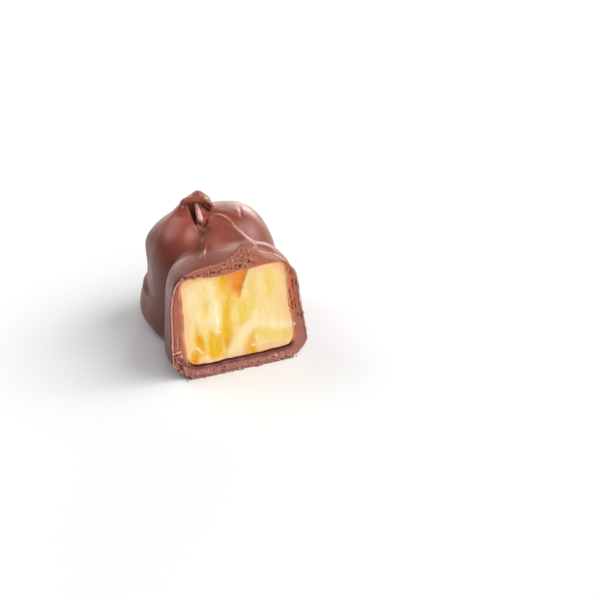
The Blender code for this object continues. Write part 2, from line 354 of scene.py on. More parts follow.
def crest_height(x, y):
    """The crest beside the cut follows its line in plan and falls off as a bell, wider in front of the line than behind
    it. At the cut it also reaches out to the left, where the knife pulled it over."""
    line = smooth_line(CREST_LINE, 60)
    distance, nearest = nearest_on(line[:, :2], x, y)
    foot, along = line[nearest], np.gradient(line[:, :2], axis=0)[nearest]
    front = (x - foot[..., 0]) * along[..., 1] - (y - foot[..., 1]) * along[..., 0] > 0
    rear_reach = CREST_REACH_REAR + (CREST_REACH_LEFT - CREST_REACH_REAR) * bell(y - CUT_Y, CREST_LEFT_FADE)
    return foot[..., 2] * bell(distance, np.where(front, CREST_REACH_FRONT, rear_reach))


def swells(x, y):
    """Bells with a flat middle, each with its own reach on its four sides."""
    total = 0
    for centre_x, centre_y, left, right, front, rear, height in SWELLS:
        across = (x - centre_x) / np.where(x < centre_x, left, right)
        along = (y - centre_y) / np.where(y < centre_y, front, rear)
        total = total + height * np.exp(-((across**2 + along**2) ** SWELL_POWER))
    return total


def hollow_section(u, y):
    """The hollow's section at share u of the way round and at y, as x and z. Its top sags a little left of its middle,
    its upper right corner stands out, and its right side is pushed in a little at mid height."""
    hollow = CREAM.grown(HOLLOW_GAP)
    x, z = hollow.section(hollow.angle(u), y)
    sunk = TOP_SINK + SAG * bell(x - SAG_X, SAG_REACH)
    out = CORNER_OUT * ease(z, 13.0, 18.0) - SIDE_IN * bell(z - SIDE_IN_HEIGHT, SIDE_IN_REACH)
    place = np.stack(np.broadcast_arrays(x, 0.3 * y, z), -1)
    x = x + out * ease(x, 6.0, 8.5) + EDGE_WANDER * noise(place, 1.3, 62)
    return x, z - sunk * ease(z, 13.5, 18.0) + EDGE_WANDER * (noise(place, 1.3, 63) + 0.6 * noise(place, 0.5, 64))


def foot_tuck(x, y, z):
    """Share of its width that the coat loses just above the table, where the dip drew in under it, most at the cut."""
    rear = np.where(x < 0, FOOT_TUCK_REAR_LEFT, FOOT_TUCK_REAR_RIGHT)
    return FOOT_TUCK * ease(z, 3.2, -0.3) * (rear + (1 - rear) * ease(y, -7.0, -12.0))


def side_bulge(x, y, z):
    """How far the sides go out: bells, and a low step on the rear lobe's left."""
    height = z + 0.5 * np.sin(0.55 * y)
    step = STEP_OUT * ease(height, STEP_HEIGHT + STEP_SOFTNESS, STEP_HEIGHT - STEP_SOFTNESS)
    total = np.where(x < 0, -step * bell(y - STEP_MIDDLE, STEP_REACH), 0)
    for centre_y, centre_z, reach_y, reach_z, left, right in SIDE_BULGES:
        total = total + np.where(x < 0, -left, right) * spot(y, z, centre_y, centre_z, reach_y, reach_z)
    return total


def line_fade(nearest, count, ends, middle):
    """Fades a line out towards its ends, from the nearest of its samples."""
    return ease(np.abs(nearest / (count - 1) - 0.5), ends, middle)


def fine_lines(x, y, outside, sizes):
    """The sheet's raised rim, the ripples that fade behind it, and the crease down the rear dome."""
    rim = sizes.rim_height * bell(outside, RIM_WIDTH) * ease(y, CUT_Y + 1, CUT_Y + 5)
    rim *= 1 - RIM_LOW_SHARE * ease(x, 2.4, 4.2)
    ripple = np.sin(2 * np.pi * outside / RIPPLE_SPACING) * np.exp(-outside / RIPPLE_FADE)
    behind = ease(outside, 0, 0.6) * ease(x, 0.5, 3.0) * ease(y, -6, -3)
    distance, nearest = nearest_on(smooth_line(REAR_CREASE, 40), x, y)
    crease = REAR_CREASE_DEPTH * bell(distance, REAR_CREASE_WIDTH) * line_fade(nearest, 40, 0.5, 0.2)
    return rim + sizes.ripple_height * ripple * behind - crease


def coat_surface(u, y, sizes):
    """The coating's outside at share u of the way round and at y: lobes, sheet over the crease, crest and swells."""
    angle = COAT.angle(u)
    x, z = COAT.section(angle, y)
    top = np.clip(np.sin(angle) / 0.5, 0, 1) ** 2
    outside = sheet_side(x, y)
    sheet = TOP_BLEND * np.logaddexp(0, (sheet_top(y, outside) - z) / TOP_BLEND)
    z = z + top * (sheet + crest_height(x, y) + swells(x, y) + fine_lines(x, y, outside, sizes))
    side = np.clip(np.abs(x) / 6, 0, 1)
    x = x + side * side_bulge(x, y, z)
    return np.stack([x * (1 - foot_tuck(x, y, z)), y, z], -1)


def grid_normals(points):
    """Unit normals of a grid of points (rows, columns, 3) whose columns go round: the cross product of its steps."""
    round_step = np.roll(points, -1, 1) - np.roll(points, 1, 1)
    normal = np.cross(round_step, np.gradient(points, axis=0))
    return normal / np.maximum(np.linalg.norm(normal, axis=-1, keepdims=True), 1e-12)


# Meshes


def grid_faces(rows, columns, wrap_rows=False):
    """Quads of a grid whose columns go round. The rows go round too, or else fans close the first and the last row to
    two more points, which come after the grid's."""
    near = np.arange(rows * columns).reshape(rows, columns)
    far = np.roll(near, -1, 0)
    if not wrap_rows:
        near, far = near[:-1], far[:-1]
    near_next, far_next = np.roll(near, -1, 1), np.roll(far, -1, 1)
    quads = np.stack([near, near_next, far_next, far], -1).reshape(-1, 4)
    if wrap_rows:
        return quads, np.zeros((0, 3), int)
    ends = ((near_next[0], near[0], 0), (far[-1], far_next[-1], 1))
    fans = [np.stack([first, second, np.full(columns, rows * columns + pole)], -1) for first, second, pole in ends]
    return quads, np.vstack(fans)


def grid_piece(name, points, wrap_rows=False, values=None):
    """A closed mesh from a grid of points (rows, columns, 3) in mm. The columns go round. The rows go round too, or
    else the first and the last row each close to a point at their middle. Values are numbers that the material reads,
    one to a point of the grid."""
    rows, columns = points.shape[:2]
    quads, fans = grid_faces(rows, columns, wrap_rows)
    places = points.reshape(-1, 3)
    if not wrap_rows:
        places = np.vstack([places, points[[0, -1]].mean(1)])
    corners = np.vstack([quads[:, [0, 1, 2]], quads[:, [0, 2, 3]], fans])
    first, second, third = (places[corner] for corner in corners.T)
    volume = np.einsum("ij,ij->i", first, np.cross(second, third)).sum()
    if volume < 0:
        quads, fans = quads[:, ::-1], fans[:, ::-1]
    obj = mesh_piece(name, places, quads, fans)
    for key, value in (values or {}).items():
        value = value.reshape(-1)
        if not wrap_rows:
            value = np.append(value, [value[:columns].mean(), value[-columns:].mean()])
        add_value(obj, key, value)
    return obj


def mesh_piece(name, places, *faces):
    """A smooth-shaded mesh object at the origin from points in mm and arrays of faces."""
    mesh = bpy.data.meshes.new(name)
    mesh.from_pydata(np.asarray(places) * MM, [], [face for group in faces for face in np.asarray(group).tolist()])
    mesh.update()
    mesh.shade_smooth()
    obj = bpy.data.objects.new(name, mesh)
    bpy.context.scene.collection.objects.link(obj)
    return obj


def add_value(obj, key, value):
    """Stores a number for each point of a mesh under a name that its material reads."""
    attribute = obj.data.attributes.new(key, "FLOAT", "POINT")
    attribute.data.foreach_set("value", np.asarray(value, np.float32))


def finish_piece(obj, material, replaced=None):
    """Gives a piece its material, rides it on the body and hides the imported part that it stands in for."""
    obj.data.materials.append(material)
    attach(obj, BODY)
    if replaced:
        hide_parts(replaced)


# Coating

# How near the poles the rows end, as a share of the way to the rear end
OUTER_POLE, INNER_POLE = 0.997, 0.97
# How far the coat's edge lies behind the cut plane. From there it turns in: how far in and how far back its rows lie
EDGE_BACK = 0.12
EDGE_TUCK = ((0.3, 0.25), (0.45, 0.75))
# The groove where the knife undercut the coat's left side: its depth, how far it lies behind the cut, and its reach
UNDERCUT, UNDERCUT_BACK, UNDERCUT_REACH = 0.22, 0.4, 0.35
# Steps round the hollow's outline, in which the bearings of the coat's columns are looked up
OUTLINE_SAMPLES = 6000


def coating_points(sizes):
    """The whole coating as one grid. Rows run over the outside from the rear to the cut, turn in at the cut behind the
    cut face, cross to the hollow, and run back along it. The outside is moved along its normals by dipping waves."""
    u = np.arange(COAT_COLUMNS) / COAT_COLUMNS
    v = np.linspace(OUTER_POLE, 0, COAT_ROWS)
    y = CUT_Y + (COAT.rear_end() - CUT_Y) * np.sin(v * np.pi / 2)
    outer = coat_surface(*np.meshgrid(u, y), sizes)
    outer = outer + grid_normals(outer) * dipping_waves(outer, sizes)[..., None]
    outer[..., 2] = np.maximum(outer[..., 2], 0)
    edge = outer[-1].copy()
    inward = np.array([0, 0, CREAM_MIDDLE]) - edge
    inward[:, 1] = 0
    inward /= np.linalg.norm(inward, axis=1, keepdims=True)
    undercut = UNDERCUT * bell(y - CUT_Y - UNDERCUT_BACK, UNDERCUT_REACH)[:, None] * ease(edge[:, 0], -7.0, -9.5)
    outer += undercut[..., None] * inward
    outer[-1, :, 1] = CUT_Y + EDGE_BACK
    tucked = [
        coat_surface(u, np.full(COAT_COLUMNS, CUT_Y + back), sizes) + inward * inset for inset, back in EDGE_TUCK
    ]
    start = CUT_Y + EDGE_TUCK[-1][1]
    w = np.linspace(0, INNER_POLE, HOLLOW_ROWS)
    y_inner = start + (CREAM.rear_end() - start) * np.sin(w * np.pi / 2)
    x, z = hollow_section(*np.meshgrid(np.interp(u, *matched_shares(edge)), y_inner))
    inner = np.stack([x, np.broadcast_to(y_inner[:, None], x.shape), z], -1)
    return np.concatenate([outer, np.array(tucked), inner])


def skin_values(points):
    """Where the skin's colour carries painted light and painted shade: a lighter, redder tone as painted light on the
    sheet and up the left slope to the swirl, and a darker tone as painted shade on the rear lobe's left side: soft
    bells, broken up by 3 mm noise."""
    x, y, z = np.moveaxis(points, -1, 0)
    broken = 1.0 + 0.3 * noise(points, 3.0, 60)
    slope = spot(x, y, -5.0, 4.0, 3.6, 4.8) * ease(z, 13.0, 19.0)
    saddle = spot(x, y, 1.5, -4.0, 3.0, 4.5) * ease(z, 17.0, 19.0)
    side = spot(y, z, 0.0, 12.0, 5.5, 5.5) * ease(x, -6.5, -8.5)
    # Painted light on the left slope and the saddle, painted shade on the rear lobe's left side
    return {"fresh": (0.85 * slope + 0.35 * saddle) * broken, "dull": 0.5 * side * broken}


def matched_shares(edge):
    """For each share u round the coating's edge at the cut, the share round the hollow that lies at the same bearing
    from the middle of the cream, so that the wall between them isn't skewed."""
    share = np.linspace(-1, 2, OUTLINE_SAMPLES + 1)
    x, z = hollow_section(share, CUT_Y)
    u = np.arange(len(edge)) / len(edge)
    wanted = bearings(edge[:, 0], edge[:, 2])
    return u, np.interp(wanted, bearings(x, z, wanted[0] - 1.5 * np.pi), share)


def bearings(x, z, start=None):
    """Bearings round the middle of the cream, without jumps, of points in a row. Start is the least for the first."""
    bearing = np.unwrap(np.arctan2(z - CREAM_MIDDLE, x))
    if start is not None:
        bearing += 2 * np.pi * np.round((start - bearing[0]) / (2 * np.pi))
    return bearing


def dipping_waves(points, sizes):
    """Height of the low waves that dipping by hand leaves, none on the flat underside."""
    waves = noise(points, 5.5, 1) + 0.35 * noise(points, 2.3, 2) + 0.08 * noise(points, 0.9, 3)
    return sizes.wave_height * waves * ease(points[..., 2], 0.1, 2.0)


# Cut face

# How far below the hollow's floor the cut face ends, so that a gap shows under the cream; steps round the outer edge
FLOOR_SINK = 0.4
EDGE_SAMPLES = 4000


def cut_outlines(sizes):
    """The cut's outer and inner outline (columns, 2) in x and z, and the share of the way round at each column. The
    outer one is read at even steps of its length, and the inner one at the same bearings from the cream's middle."""
    u = np.arange(EDGE_SAMPLES) / EDGE_SAMPLES
    outer = coat_surface(u[None], np.full((1, EDGE_SAMPLES), CUT_Y), sizes)[0]
    outer = np.vstack([outer, outer[:1]])
    length = lengths_along(outer)
    at = np.arange(CUT_COLUMNS) / CUT_COLUMNS * length[-1]
    shares = np.interp(at, length, np.append(u, 1))
    outer = np.stack([np.interp(at, length, outer[:, axis]) for axis in (0, 2)], -1)
    x, z = hollow_section(np.linspace(-1, 2, 3 * OUTLINE_SAMPLES + 1), CUT_Y)
    z = z - FLOOR_SINK * ease(z, 5.0, 2.2)
    wanted = bearings(*outer.T)
    bearing = bearings(x, z, wanted[0] - 1.5 * np.pi)
    inner = np.stack([np.interp(wanted, bearing, x), np.interp(wanted, bearing, z)], -1)
    return outer, inner, shares


# Bands on the cut plane: points of x, z and half width in mm
PORE_WEDGE = (
    (3.1, 21.4, 0.3), (2.9, 20.4, 0.8), (2.4, 19.5, 1.2), (1.2, 19.2, 0.9), (-0.2, 19.3, 0.6), (-1.4, 19.2, 0.3),
)
PORE_TOP_LEFT = (
    (-8.3, 18.5, 0.3), (-7.3, 18.6, 0.4), (-5.6, 18.5, 0.35), (-3.8, 18.6, 0.45), (-2.4, 18.7, 0.5), (-1.4, 18.8, 0.4),
)
PORE_CORNER = ((-10.9, 4.9, 0.4), (-10.4, 4.0, 0.7), (-10.2, 2.8, 0.8), (-9.8, 1.6, 0.6), (-9.0, 1.0, 0.4))
CRUMBLY_FLANK = ((-1.2, 19.8, 0.3), (0.4, 20.7, 0.7), (1.5, 21.6, 0.8), (2.7, 22.6, 0.6))
ORANGE_BAND = (
    (8.9, 18.4, 0.2), (9.2, 16.6, 0.35), (9.35, 14.3, 0.42), (9.3, 12.5, 0.42), (9.25, 10.8, 0.5), (9.2, 9.2, 0.55),
    (9.2, 7.9, 0.45), (9.2, 7.0, 0.25),
)
LEDGE = ((-11.4, 5.45, 0.08), (-11.1, 5.3, 0.12), (-10.75, 5.5, 0.1), (-10.4, 5.5, 0.12), (-10.0, 5.65, 0.08))
PALE_SMEAR = ((3.9, 21.4, 0.3), (5.0, 20.5, 0.5), (6.2, 19.8, 0.45), (7.4, 19.2, 0.4), (8.5, 18.7, 0.3))
# Where the crumb is porous: the bands and how soft their edges are
POROUS_BANDS = ((PORE_WEDGE, 0.8), (PORE_CORNER, 0.6), (PORE_TOP_LEFT, 0.5))

# Single pits and bright lumps: x, z, half width, half height
BROWN_PITS = (
    (9.44, 15.8, 0.12, 0.52), (9.57, 14.2, 0.14, 0.63), (9.62, 13.3, 0.12, 0.46), (8.98, 12.4, 0.09, 0.69),
    (9.08, 11.4, 0.09, 0.52), (9.25, 10.2, 0.2, 0.57), (8.7, 9.3, 0.09, 0.25), (9.2, 9.2, 0.13, 0.29),
    (10.03, 7.85, 0.11, 0.48), (10.6, 7.5, 0.15, 0.44), (10.16, 13.8, 0.08, 0.4), (10.45, 13.2, 0.09, 0.4),
    (9.7, 10.7, 0.09, 0.4), (9.75, 9.5, 0.1, 0.46),
)
PITS = (
    (-10.2, 2.7, 0.32, 0.25), (-10.15, 2.2, 0.2, 0.2), (-10.8, 2.0, 0.2, 0.15), (-10.62, 4.1, 0.15, 0.2),
    (-10.95, 5.0, 0.3, 0.14), (-10.5, 3.2, 0.15, 0.15), (-10.0, 1.2, 0.22, 0.15), (-9.15, 2.3, 0.15, 0.12),
    (-7.66, 18.75, 0.32, 0.17), (-6.7, 18.72, 0.4, 0.08), (-5.4, 18.7, 0.3, 0.07), (-3.0, 18.6, 0.2, 0.12),
    (1.3, 18.8, 0.14, 0.3), (2.9, 19.3, 0.2, 0.16), (3.5, 18.9, 0.14, 0.2),
)
BRIGHT_LUMPS = (
    (9.2, 6.2, 0.22, 0.3), (-9.97, 4.6, 0.18, 0.16), (-9.7, 2.1, 0.14, 0.28), (-10.6, 3.65, 0.14, 0.1),
    (1.8, 18.8, 0.16, 0.12), (2.2, 19.2, 0.14, 0.12), (3.2, 19.5, 0.16, 0.14), (2.6, 18.5, 0.14, 0.1),
    (0.2, 20.2, 0.15, 0.12), (5.7, 1.0, 0.22, 0.16), (6.4, 1.3, 0.16, 0.14), (7.9, 0.5, 0.22, 0.14),
    (8.9, 0.5, 0.18, 0.14), (3.0, 1.8, 0.14, 0.12), (1.4, 1.6, 0.14, 0.1),
)

# Thin lines: how deep they are (negative stands out), half width, and their points of x and z
LINES = (
    (
        0.5,
        0.05,
        (
            (9.2, 17.7), (9.63, 16.6), (9.78, 15.3), (9.8, 13.8), (9.72, 12.5), (9.7, 11.2), (9.86, 10.0), (9.9, 9.1),
            (10.0, 7.7),
        ),
    ),
    (0.35, 0.04, ((9.25, 5.75), (10.0, 5.55), (10.8, 5.4))),
    (0.5, 0.05, ((-10.56, 8.3), (-10.63, 7.0), (-10.72, 6.0))),
    (0.5, 0.06, ((-9.85, 8.5), (-10.0, 7.4), (-10.06, 6.2))),
    (-0.6, 0.06, ((-10.2, 9.0), (-10.34, 7.0), (-10.45, 5.9))),
    (-0.9, 0.05, ((-7.7, 18.45), (-8.3, 18.0), (-8.7, 17.2), (-8.95, 16.2), (-9.2, 14.9))),
    (-0.8, 0.07, ((-8.3, 18.2), (-7.5, 18.3), (-6.6, 18.15), (-5.8, 18.1))),
)

# Where the cut's edge stands out or in: centre x and z, reach in x and z, and how far out
BURRS = (
    (11.0, 8.1, 0.8, 0.35, 0.25), (10.9, 10.2, 1.0, 1.6, -0.2), (10.2, 15.6, 1.4, 2.0, 0.32),
    (-10.4, 15.7, 0.6, 0.12, 0.35), (-9.8, 17.4, 0.8, 1.2, 0.15),
)

# How high or deep the forms of the cut face are, in mm. The foot leans forward, unevenly, towards the table
GRAIN_HEIGHT, SWELL_HEIGHT, FOOT_HEIGHT, FOOT_UNEVEN = 0.03, 0.05, 0.35, 0.2
LUMP_HEIGHT, FLANK_LUMP_HEIGHT, BRIGHT_LUMP_HEIGHT, BROWN_PIT_DEPTH = 0.16, 0.14, 0.18, 0.2
LEDGE_HEIGHT, RIM_HEIGHT, GROOVE_DEPTH, CREAM_EDGE_DEPTH = 0.25, 0.16, 0.08, 0.1
# How far in from the cut's edge the rim and the groove beside it run, and their half widths
RIM_INSET, RIM_REACH_RIGHT, RIM_REACH_LEFT = 0.1, 0.16, 0.1
GROOVE_INSET, GROOVE_REACH = 0.36, 0.12

# Outside and inside of the ring behind the cut face: how far in or out of the wall and how far back its rows lie
RING_OUTSIDE = ((0.4, 1.2), (0.32, 0.5), (0.2, 0.25), (0.0, 0.13))
RING_INSIDE = ((-0.02, 0.25), (-0.02, 0.7), (0.1, 1.6), (0.5, 1.6))
# How far in from the cut's edge its burrs reach
BURR_REACH = 0.35


def wiggled(x, z, amount):
    """The plane's x bent by noise, so that lines drawn on it wander."""
    place = on_plane(x, z) + (0, 0, 7)
    return x + amount * noise(place, 0.8, 51) + 0.5 * amount * noise(place, 0.35, 52)


def dots(x, z, table):
    """Oval dots from a table of centres and half sizes: 1 at each centre, falling as a flat-topped bell."""
    total = np.zeros_like(x)
    for centre_x, centre_z, half_x, half_z in table:
        squared = ((x - centre_x) / half_x) ** 2 + ((z - centre_z) / half_z) ** 2
        total = np.maximum(total, np.exp(-(squared**1.3)))
    return total


def thin_lines(x, z):
    """The cut's thin lines, from -1 to 1: grooves are above 0, and raised threads are below it."""
    total = np.zeros_like(x)
    bent = wiggled(x, z, 0.1)
    broken = ease(noise(on_plane(x, z), 0.7, 53), -0.4, 0.1)
    for depth, half_width, line in LINES:
        distance, nearest = nearest_on(smooth_line(line, 80), bent, z)
        total += depth * bell(distance, half_width) * (line_fade(nearest, 80, 0.52, 0.35) * broken)
    return total


def crumb_relief(place, porous, loose, banded):
    """Pits of two sizes, and lumps of loose crumb of two sizes, each where its mask allows. In the band beside the
    cream the pits and lumps are drawn out upright and the pits are shallower."""
    distance, own = cells(place, 0.42, 21)
    pit = ease(distance, 0.25 + 0.2 * own, 0.05 + 0.1 * own) * porous
    distance, own = cells(place * (1, 0.42, 1), 0.3, 23)
    groove = ease(distance, 0.45, 0.12) * banded * (own > 0.5)
    lump = 0.6 * ease(distance, 0.6, 0.1) * banded * (own <= 0.5)
    distance, own = cells(place, 0.42, 25)
    pit = np.maximum(pit, 0.75 * ease(distance, 0.42, 0.12) * loose * (own > 0.7))
    lump = np.maximum(lump, loose * ease(distance, 0.75, 0.1) * (0.35 + own) * (own <= 0.7))
    distance, own = cells(place, 0.24, 27)
    lump = np.maximum(lump, 0.6 * loose * ease(distance, 0.7, 0.1) * (own > 0.5))
    return pit, groove, lump


def cut_relief(x, z, from_edge, from_cream, sizes):
    """How far the cut face stands forward of the cut plane, and the numbers its material reads: how deep in a pore, a
    brown pit or the gap under the cream a point is, which its material darkens as painted shade, how much cream is
    smeared on it, how orange it is beside the cream, how loose its crumb is, and how much it belongs to the pulled-up
    rim, whose pale tone is partly a painted highlight, and to the pinker chocolate low down."""
    place = on_plane(x, z)
    flank = stroke(x, z, CRUMBLY_FLANK, 0.6)
    porous = np.clip(sum(stroke(x, z, line, soft) for line, soft in POROUS_BANDS), 0, 1)
    orange = stroke(x, z, ORANGE_BAND, 0.3)
    base = ease(z + 0.3 * noise(place, 1.3, 15), 1.5, 0.9)
    loose = np.clip(0.8 * porous + base + 0.8 * flank, 0, 1)
    pit, groove_pits, lump = crumb_relief(place, porous, loose, orange)
    pit = np.maximum(pit, dots(x, z, PITS))
    brown_pit = np.maximum(0.8 * groove_pits, dots(x, z, BROWN_PITS))
    bright = dots(wiggled(x, z, 0.1), z, BRIGHT_LUMPS)
    lines = thin_lines(x, z)
    cracks = np.maximum(lines, 0)
    ledge = stroke(x, z, LEDGE, 0.12)

    side = ease(z, 1.0, 4.0) * (0.25 + 0.75 * ease(np.abs(x), 6.5, 8.5))
    rim_wave = 0.8 + 0.4 * noise(place, 1.1, 31) + 0.25 * noise(place, 0.4, 32)
    rim = bell(from_edge - RIM_INSET, np.where(x > 0, RIM_REACH_RIGHT, RIM_REACH_LEFT)) * rim_wave * side
    groove = bell(from_edge - GROOVE_INSET, GROOVE_REACH) * side
    foot = ease(z, 1.4, 0.1) * (FOOT_HEIGHT + FOOT_UNEVEN * noise(place, 1.3, 16))
    height = GRAIN_HEIGHT * layered_noise(place, 0.55, 11) + SWELL_HEIGHT * noise(place, 1.7, 14) + foot
    height += (LUMP_HEIGHT + FLANK_LUMP_HEIGHT * flank) * lump + BRIGHT_LUMP_HEIGHT * bright
    height -= sizes.pore_depth * pit + BROWN_PIT_DEPTH * brown_pit + sizes.crack_depth * lines
    height += LEDGE_HEIGHT * ledge + RIM_HEIGHT * rim - GROOVE_DEPTH * groove
    height -= CREAM_EDGE_DEPTH * np.exp(-from_cream / 0.2) * ease(z, 5.0, 3.0)

    # Painted shade: the chocolate in the gap under the cream is darkened
    under = ease(from_cream, 0.75, 0.2) * ease(z, 3.6, 2.4)
    smear = bell(from_cream, np.where(z > 17, 0.2, 0.38)) * (0.8 + 0.4 * noise(place, 1.2, 33)) * ease(z, 2.4, 4.0)
    mauve = np.clip(ease(x, 9.4, 10.0) * ease(z, 8.5, 6.5) + ease(z, 2.6, 1.2), 0, 1)
    values = {
        # Painted shade: pores, cracks and the groove beside the rim are darkened
        "pore": pit + 0.6 * cracks + 0.2 * groove,
        # Painted shade: the small pits and grooves beside the cream, and the cracks, are darkened brown
        "brown": brown_pit + 0.4 * cracks,
        "maroon": under * (0.85 + 0.3 * noise(place, 1.4, 38)),
        "smear": smear + 0.2 * stroke(x, z, PORE_WEDGE, 1.5),
        "orange": orange + 0.3 * ease(from_cream, 1.2, 0.2) * ease(z, 3.0, 5.0),
        "crumb": lump,
        # The rim tone is partly the pale chocolate of the pulled-up edge and partly a painted highlight on the rim, the
        # ledge, the bright lumps and the raised threads
        "rim": rim + ledge + bright + 0.45 * stroke(x, z, PALE_SMEAR, 0.8) + np.maximum(-lines, 0),
        "mauve": mauve * (0.8 + 0.3 * noise(place, 1.5, 34)),
    }
    return height, {key: np.clip(value, 0, 1) for key, value in values.items()}


def cut_face_points(sizes):
    """The cut face as a closed ring. Its profile goes forward along the coating's outer edge, over a small bead, across
    the wall with its relief, into the hollow, and back inside the wall."""
    outer, inner, shares = cut_outlines(sizes)
    across = inner - outer
    width = np.linalg.norm(across, axis=1)
    inward = across / width[:, None]
    inward_3d = np.insert(inward, 1, 0, axis=1)
    share = np.linspace(0, 1, CUT_FRONT_ROWS)
    share = (0.12 * share + 0.88 * share**1.15)[:, None]
    x, z = (outer[:, axis] + share * across[:, axis] for axis in (0, 1))
    from_edge, from_cream = share * width, (1 - share) * width
    height, values = cut_relief(x, z, from_edge, from_cream, sizes)
    front = np.stack([x, CUT_Y - height, z], -1)
    place = on_plane(*outer.T)
    flank = ease(outer[:, 0], -1.5, 0.0) * ease(outer[:, 0], 3.6, 3.0) * ease(outer[:, 1], 19.0, 20.0)
    burr = 0.04 + 0.05 * noise(place, 0.5, 35) + 0.05 * noise(place, 1.6, 36) + 0.3 * flank * noise(place, 0.7, 37)
    burr += sum(out * spot(*outer.T, *centre_and_reach) for *centre_and_reach, out in BURRS)
    front -= (burr * bell(from_edge, BURR_REACH))[..., None] * inward_3d
    before = [
        coat_surface(shares, np.full(CUT_COLUMNS, CUT_Y + back), sizes) + inset * inward_3d
        for inset, back in RING_OUTSIDE
    ]
    after = [np.insert(inner - outset * inward, 1, CUT_Y + back, axis=1) for outset, back in RING_INSIDE]
    points = np.concatenate([before, front, after])
    points[..., 2] = np.maximum(points[..., 2], 0.0)
    padding = ((len(before), len(after)), (0, 0))
    return points, {key: np.pad(value, padding, mode="edge") for key, value in values.items()}


# Cream

# The syrup wedge at the top: height, and x of its left and right side; and the dark line down its right side
AMBER_WEDGE = (
    (13.0, 0.75, 0.95), (13.7, 0.3, 1.05), (14.5, -0.2, 1.25), (15.4, -0.65, 1.5), (16.3, -1.15, 1.8),
    (17.3, -1.6, 2.2), (18.8, -2.1, 2.75),
)
AMBER_EDGE = ((2.2, 18.0, 0.2), (1.9, 17.0, 0.16), (1.5, 15.8, 0.16), (1.3, 14.6, 0.12))
# Swathes of colour: each stroke's points are x, z and half width in mm
GOLD_STROKES = (
    (
        (-1.9, 17.4, 0.6), (-1.3, 15.6, 0.9), (-0.9, 14.0, 1.0), (-1.3, 12.5, 1.1), (-1.6, 11.0, 1.0), (-2.1, 9.6, 0.8),
        (-2.4, 7.9, 0.9), (-2.5, 6.3, 1.2), (-3.1, 4.9, 1.3), (-3.4, 3.8, 1.2),
    ),
    ((-6.9, 7.8, 0.4), (-6.8, 6.4, 0.7), (-7.0, 4.8, 0.9), (-7.8, 3.5, 1.0), (-7.9, 2.6, 0.8)),
    ((2.5, 6.6, 0.4), (2.0, 5.6, 0.6), (1.8, 4.4, 0.9), (1.9, 3.0, 1.1)),
    ((-4.3, 7.6, 0.5), (-4.5, 5.8, 0.9), (-4.8, 4.4, 0.9), (-5.1, 3.5, 0.8)),
)
YELLOW_STROKES = (
    ((0.4, 12.8, 1.1), (1.3, 10.8, 1.9), (0.1, 9.3, 1.6), (-1.1, 8.2, 0.9)),
    ((5.6, 16.3, 0.8), (5.9, 14.7, 0.95), (5.5, 13.4, 0.7)),
    ((-5.1, 12.8, 0.4), (-5.2, 11.6, 0.3), (-5.3, 10.4, 0.1)),
    ((3.0, 16.8, 0.1), (3.1, 14.8, 0.2), (2.9, 12.8, 0.2)),
    ((3.4, 6.0, 0.5), (5.6, 4.9, 0.8), (7.0, 4.9, 0.95), (8.1, 4.2, 0.6)),
    ((-2.6, 17.0, 0.35), (-2.7, 14.8, 0.5), (-3.0, 13.0, 0.45), (-2.9, 11.5, 0.4)),
    ((-6.4, 8.6, 0.6), (-5.6, 6.2, 1.1), (-4.8, 4.4, 1.0)),
)
AMBER_STROKES = (
    ((-6.7, 7.6, 0.25), (-6.6, 6.2, 0.5), (-6.4, 5.3, 0.35)),
    ((-7.3, 4.4, 0.35), (-7.8, 3.5, 0.6), (-7.8, 2.8, 0.5)),
    ((-3.0, 6.2, 0.3), (-2.4, 5.5, 0.75), (-2.3, 4.8, 0.6)),
    ((2.2, 5.1, 0.15), (1.9, 4.3, 0.4), (1.5, 3.5, 0.6), (1.4, 2.9, 0.6)),
)
PALE_STROKES = (
    (
        (-3.6, 16.5, 0.25), (-3.8, 14.0, 0.4), (-3.8, 12.1, 0.8), (-3.9, 10.8, 0.9), (-4.2, 9.6, 0.8), (-3.9, 8.7, 0.5),
        (-3.6, 7.8, 0.3),
    ),
    ((-7.6, 8.6, 0.5), (-6.6, 9.3, 0.8), (-5.6, 9.6, 0.8)),
    ((3.2, 9.6, 0.4), (1.8, 7.4, 0.95), (0.2, 5.9, 1.0), (-0.7, 4.4, 0.8), (-1.4, 3.1, 0.65)),
    ((-7.0, 15.6, 0.5), (-7.2, 13.4, 0.7), (-6.9, 11.4, 0.5)),
    ((4.0, 7.7, 0.5), (5.6, 6.9, 0.8), (7.4, 6.5, 0.9), (8.5, 6.3, 0.6)),
    ((-5.8, 3.0, 0.35), (-5.5, 2.5, 0.3)),
)
BRIGHT_STROKES = (
    ((-7.7, 5.4, 0.05), (-7.2, 5.4, 0.1), (-6.7, 4.8, 0.1), (-6.4, 4.2, 0.04)),
    ((1.95, 3.9, 0.14), (2.3, 3.8, 0.14)),
    ((-3.5, 10.2, 0.15), (-3.3, 9.4, 0.25)),
    ((-3.7, 7.9, 0.12), (-3.0, 7.6, 0.2)),
)
WHITE_STREAK = ((-3.6, 13.0, 0.1), (-3.6, 11.2, 0.3), (-3.4, 9.4, 0.4), (-3.4, 8.4, 0.1))
# A tan tone along the cream's top edge and down its upper right side
TAN_EDGE = (
    (-8.3, 17.2, 0.2), (-6.8, 18.0, 0.3), (-4.2, 17.9, 0.3), (-2.4, 17.5, 0.2), (3.5, 18.4, 0.1), (7.0, 18.0, 0.2),
    (8.2, 17.2, 0.45), (8.6, 15.8, 0.35), (8.8, 14.0, 0.15),
)
FLOOR_PEACH = (
    (-6.5, 2.5, 0.35), (-3.5, 2.7, 0.3), (0.0, 2.8, 0.35), (3.5, 2.9, 0.4), (6.5, 3.0, 0.45), (8.3, 4.0, 0.4),
)

# How much wider than the hollow the cream is, so that it touches the coat, and how uneven the gap under it is
CREAM_OVERLAP, GAP_UNEVEN = 1.004, 0.04
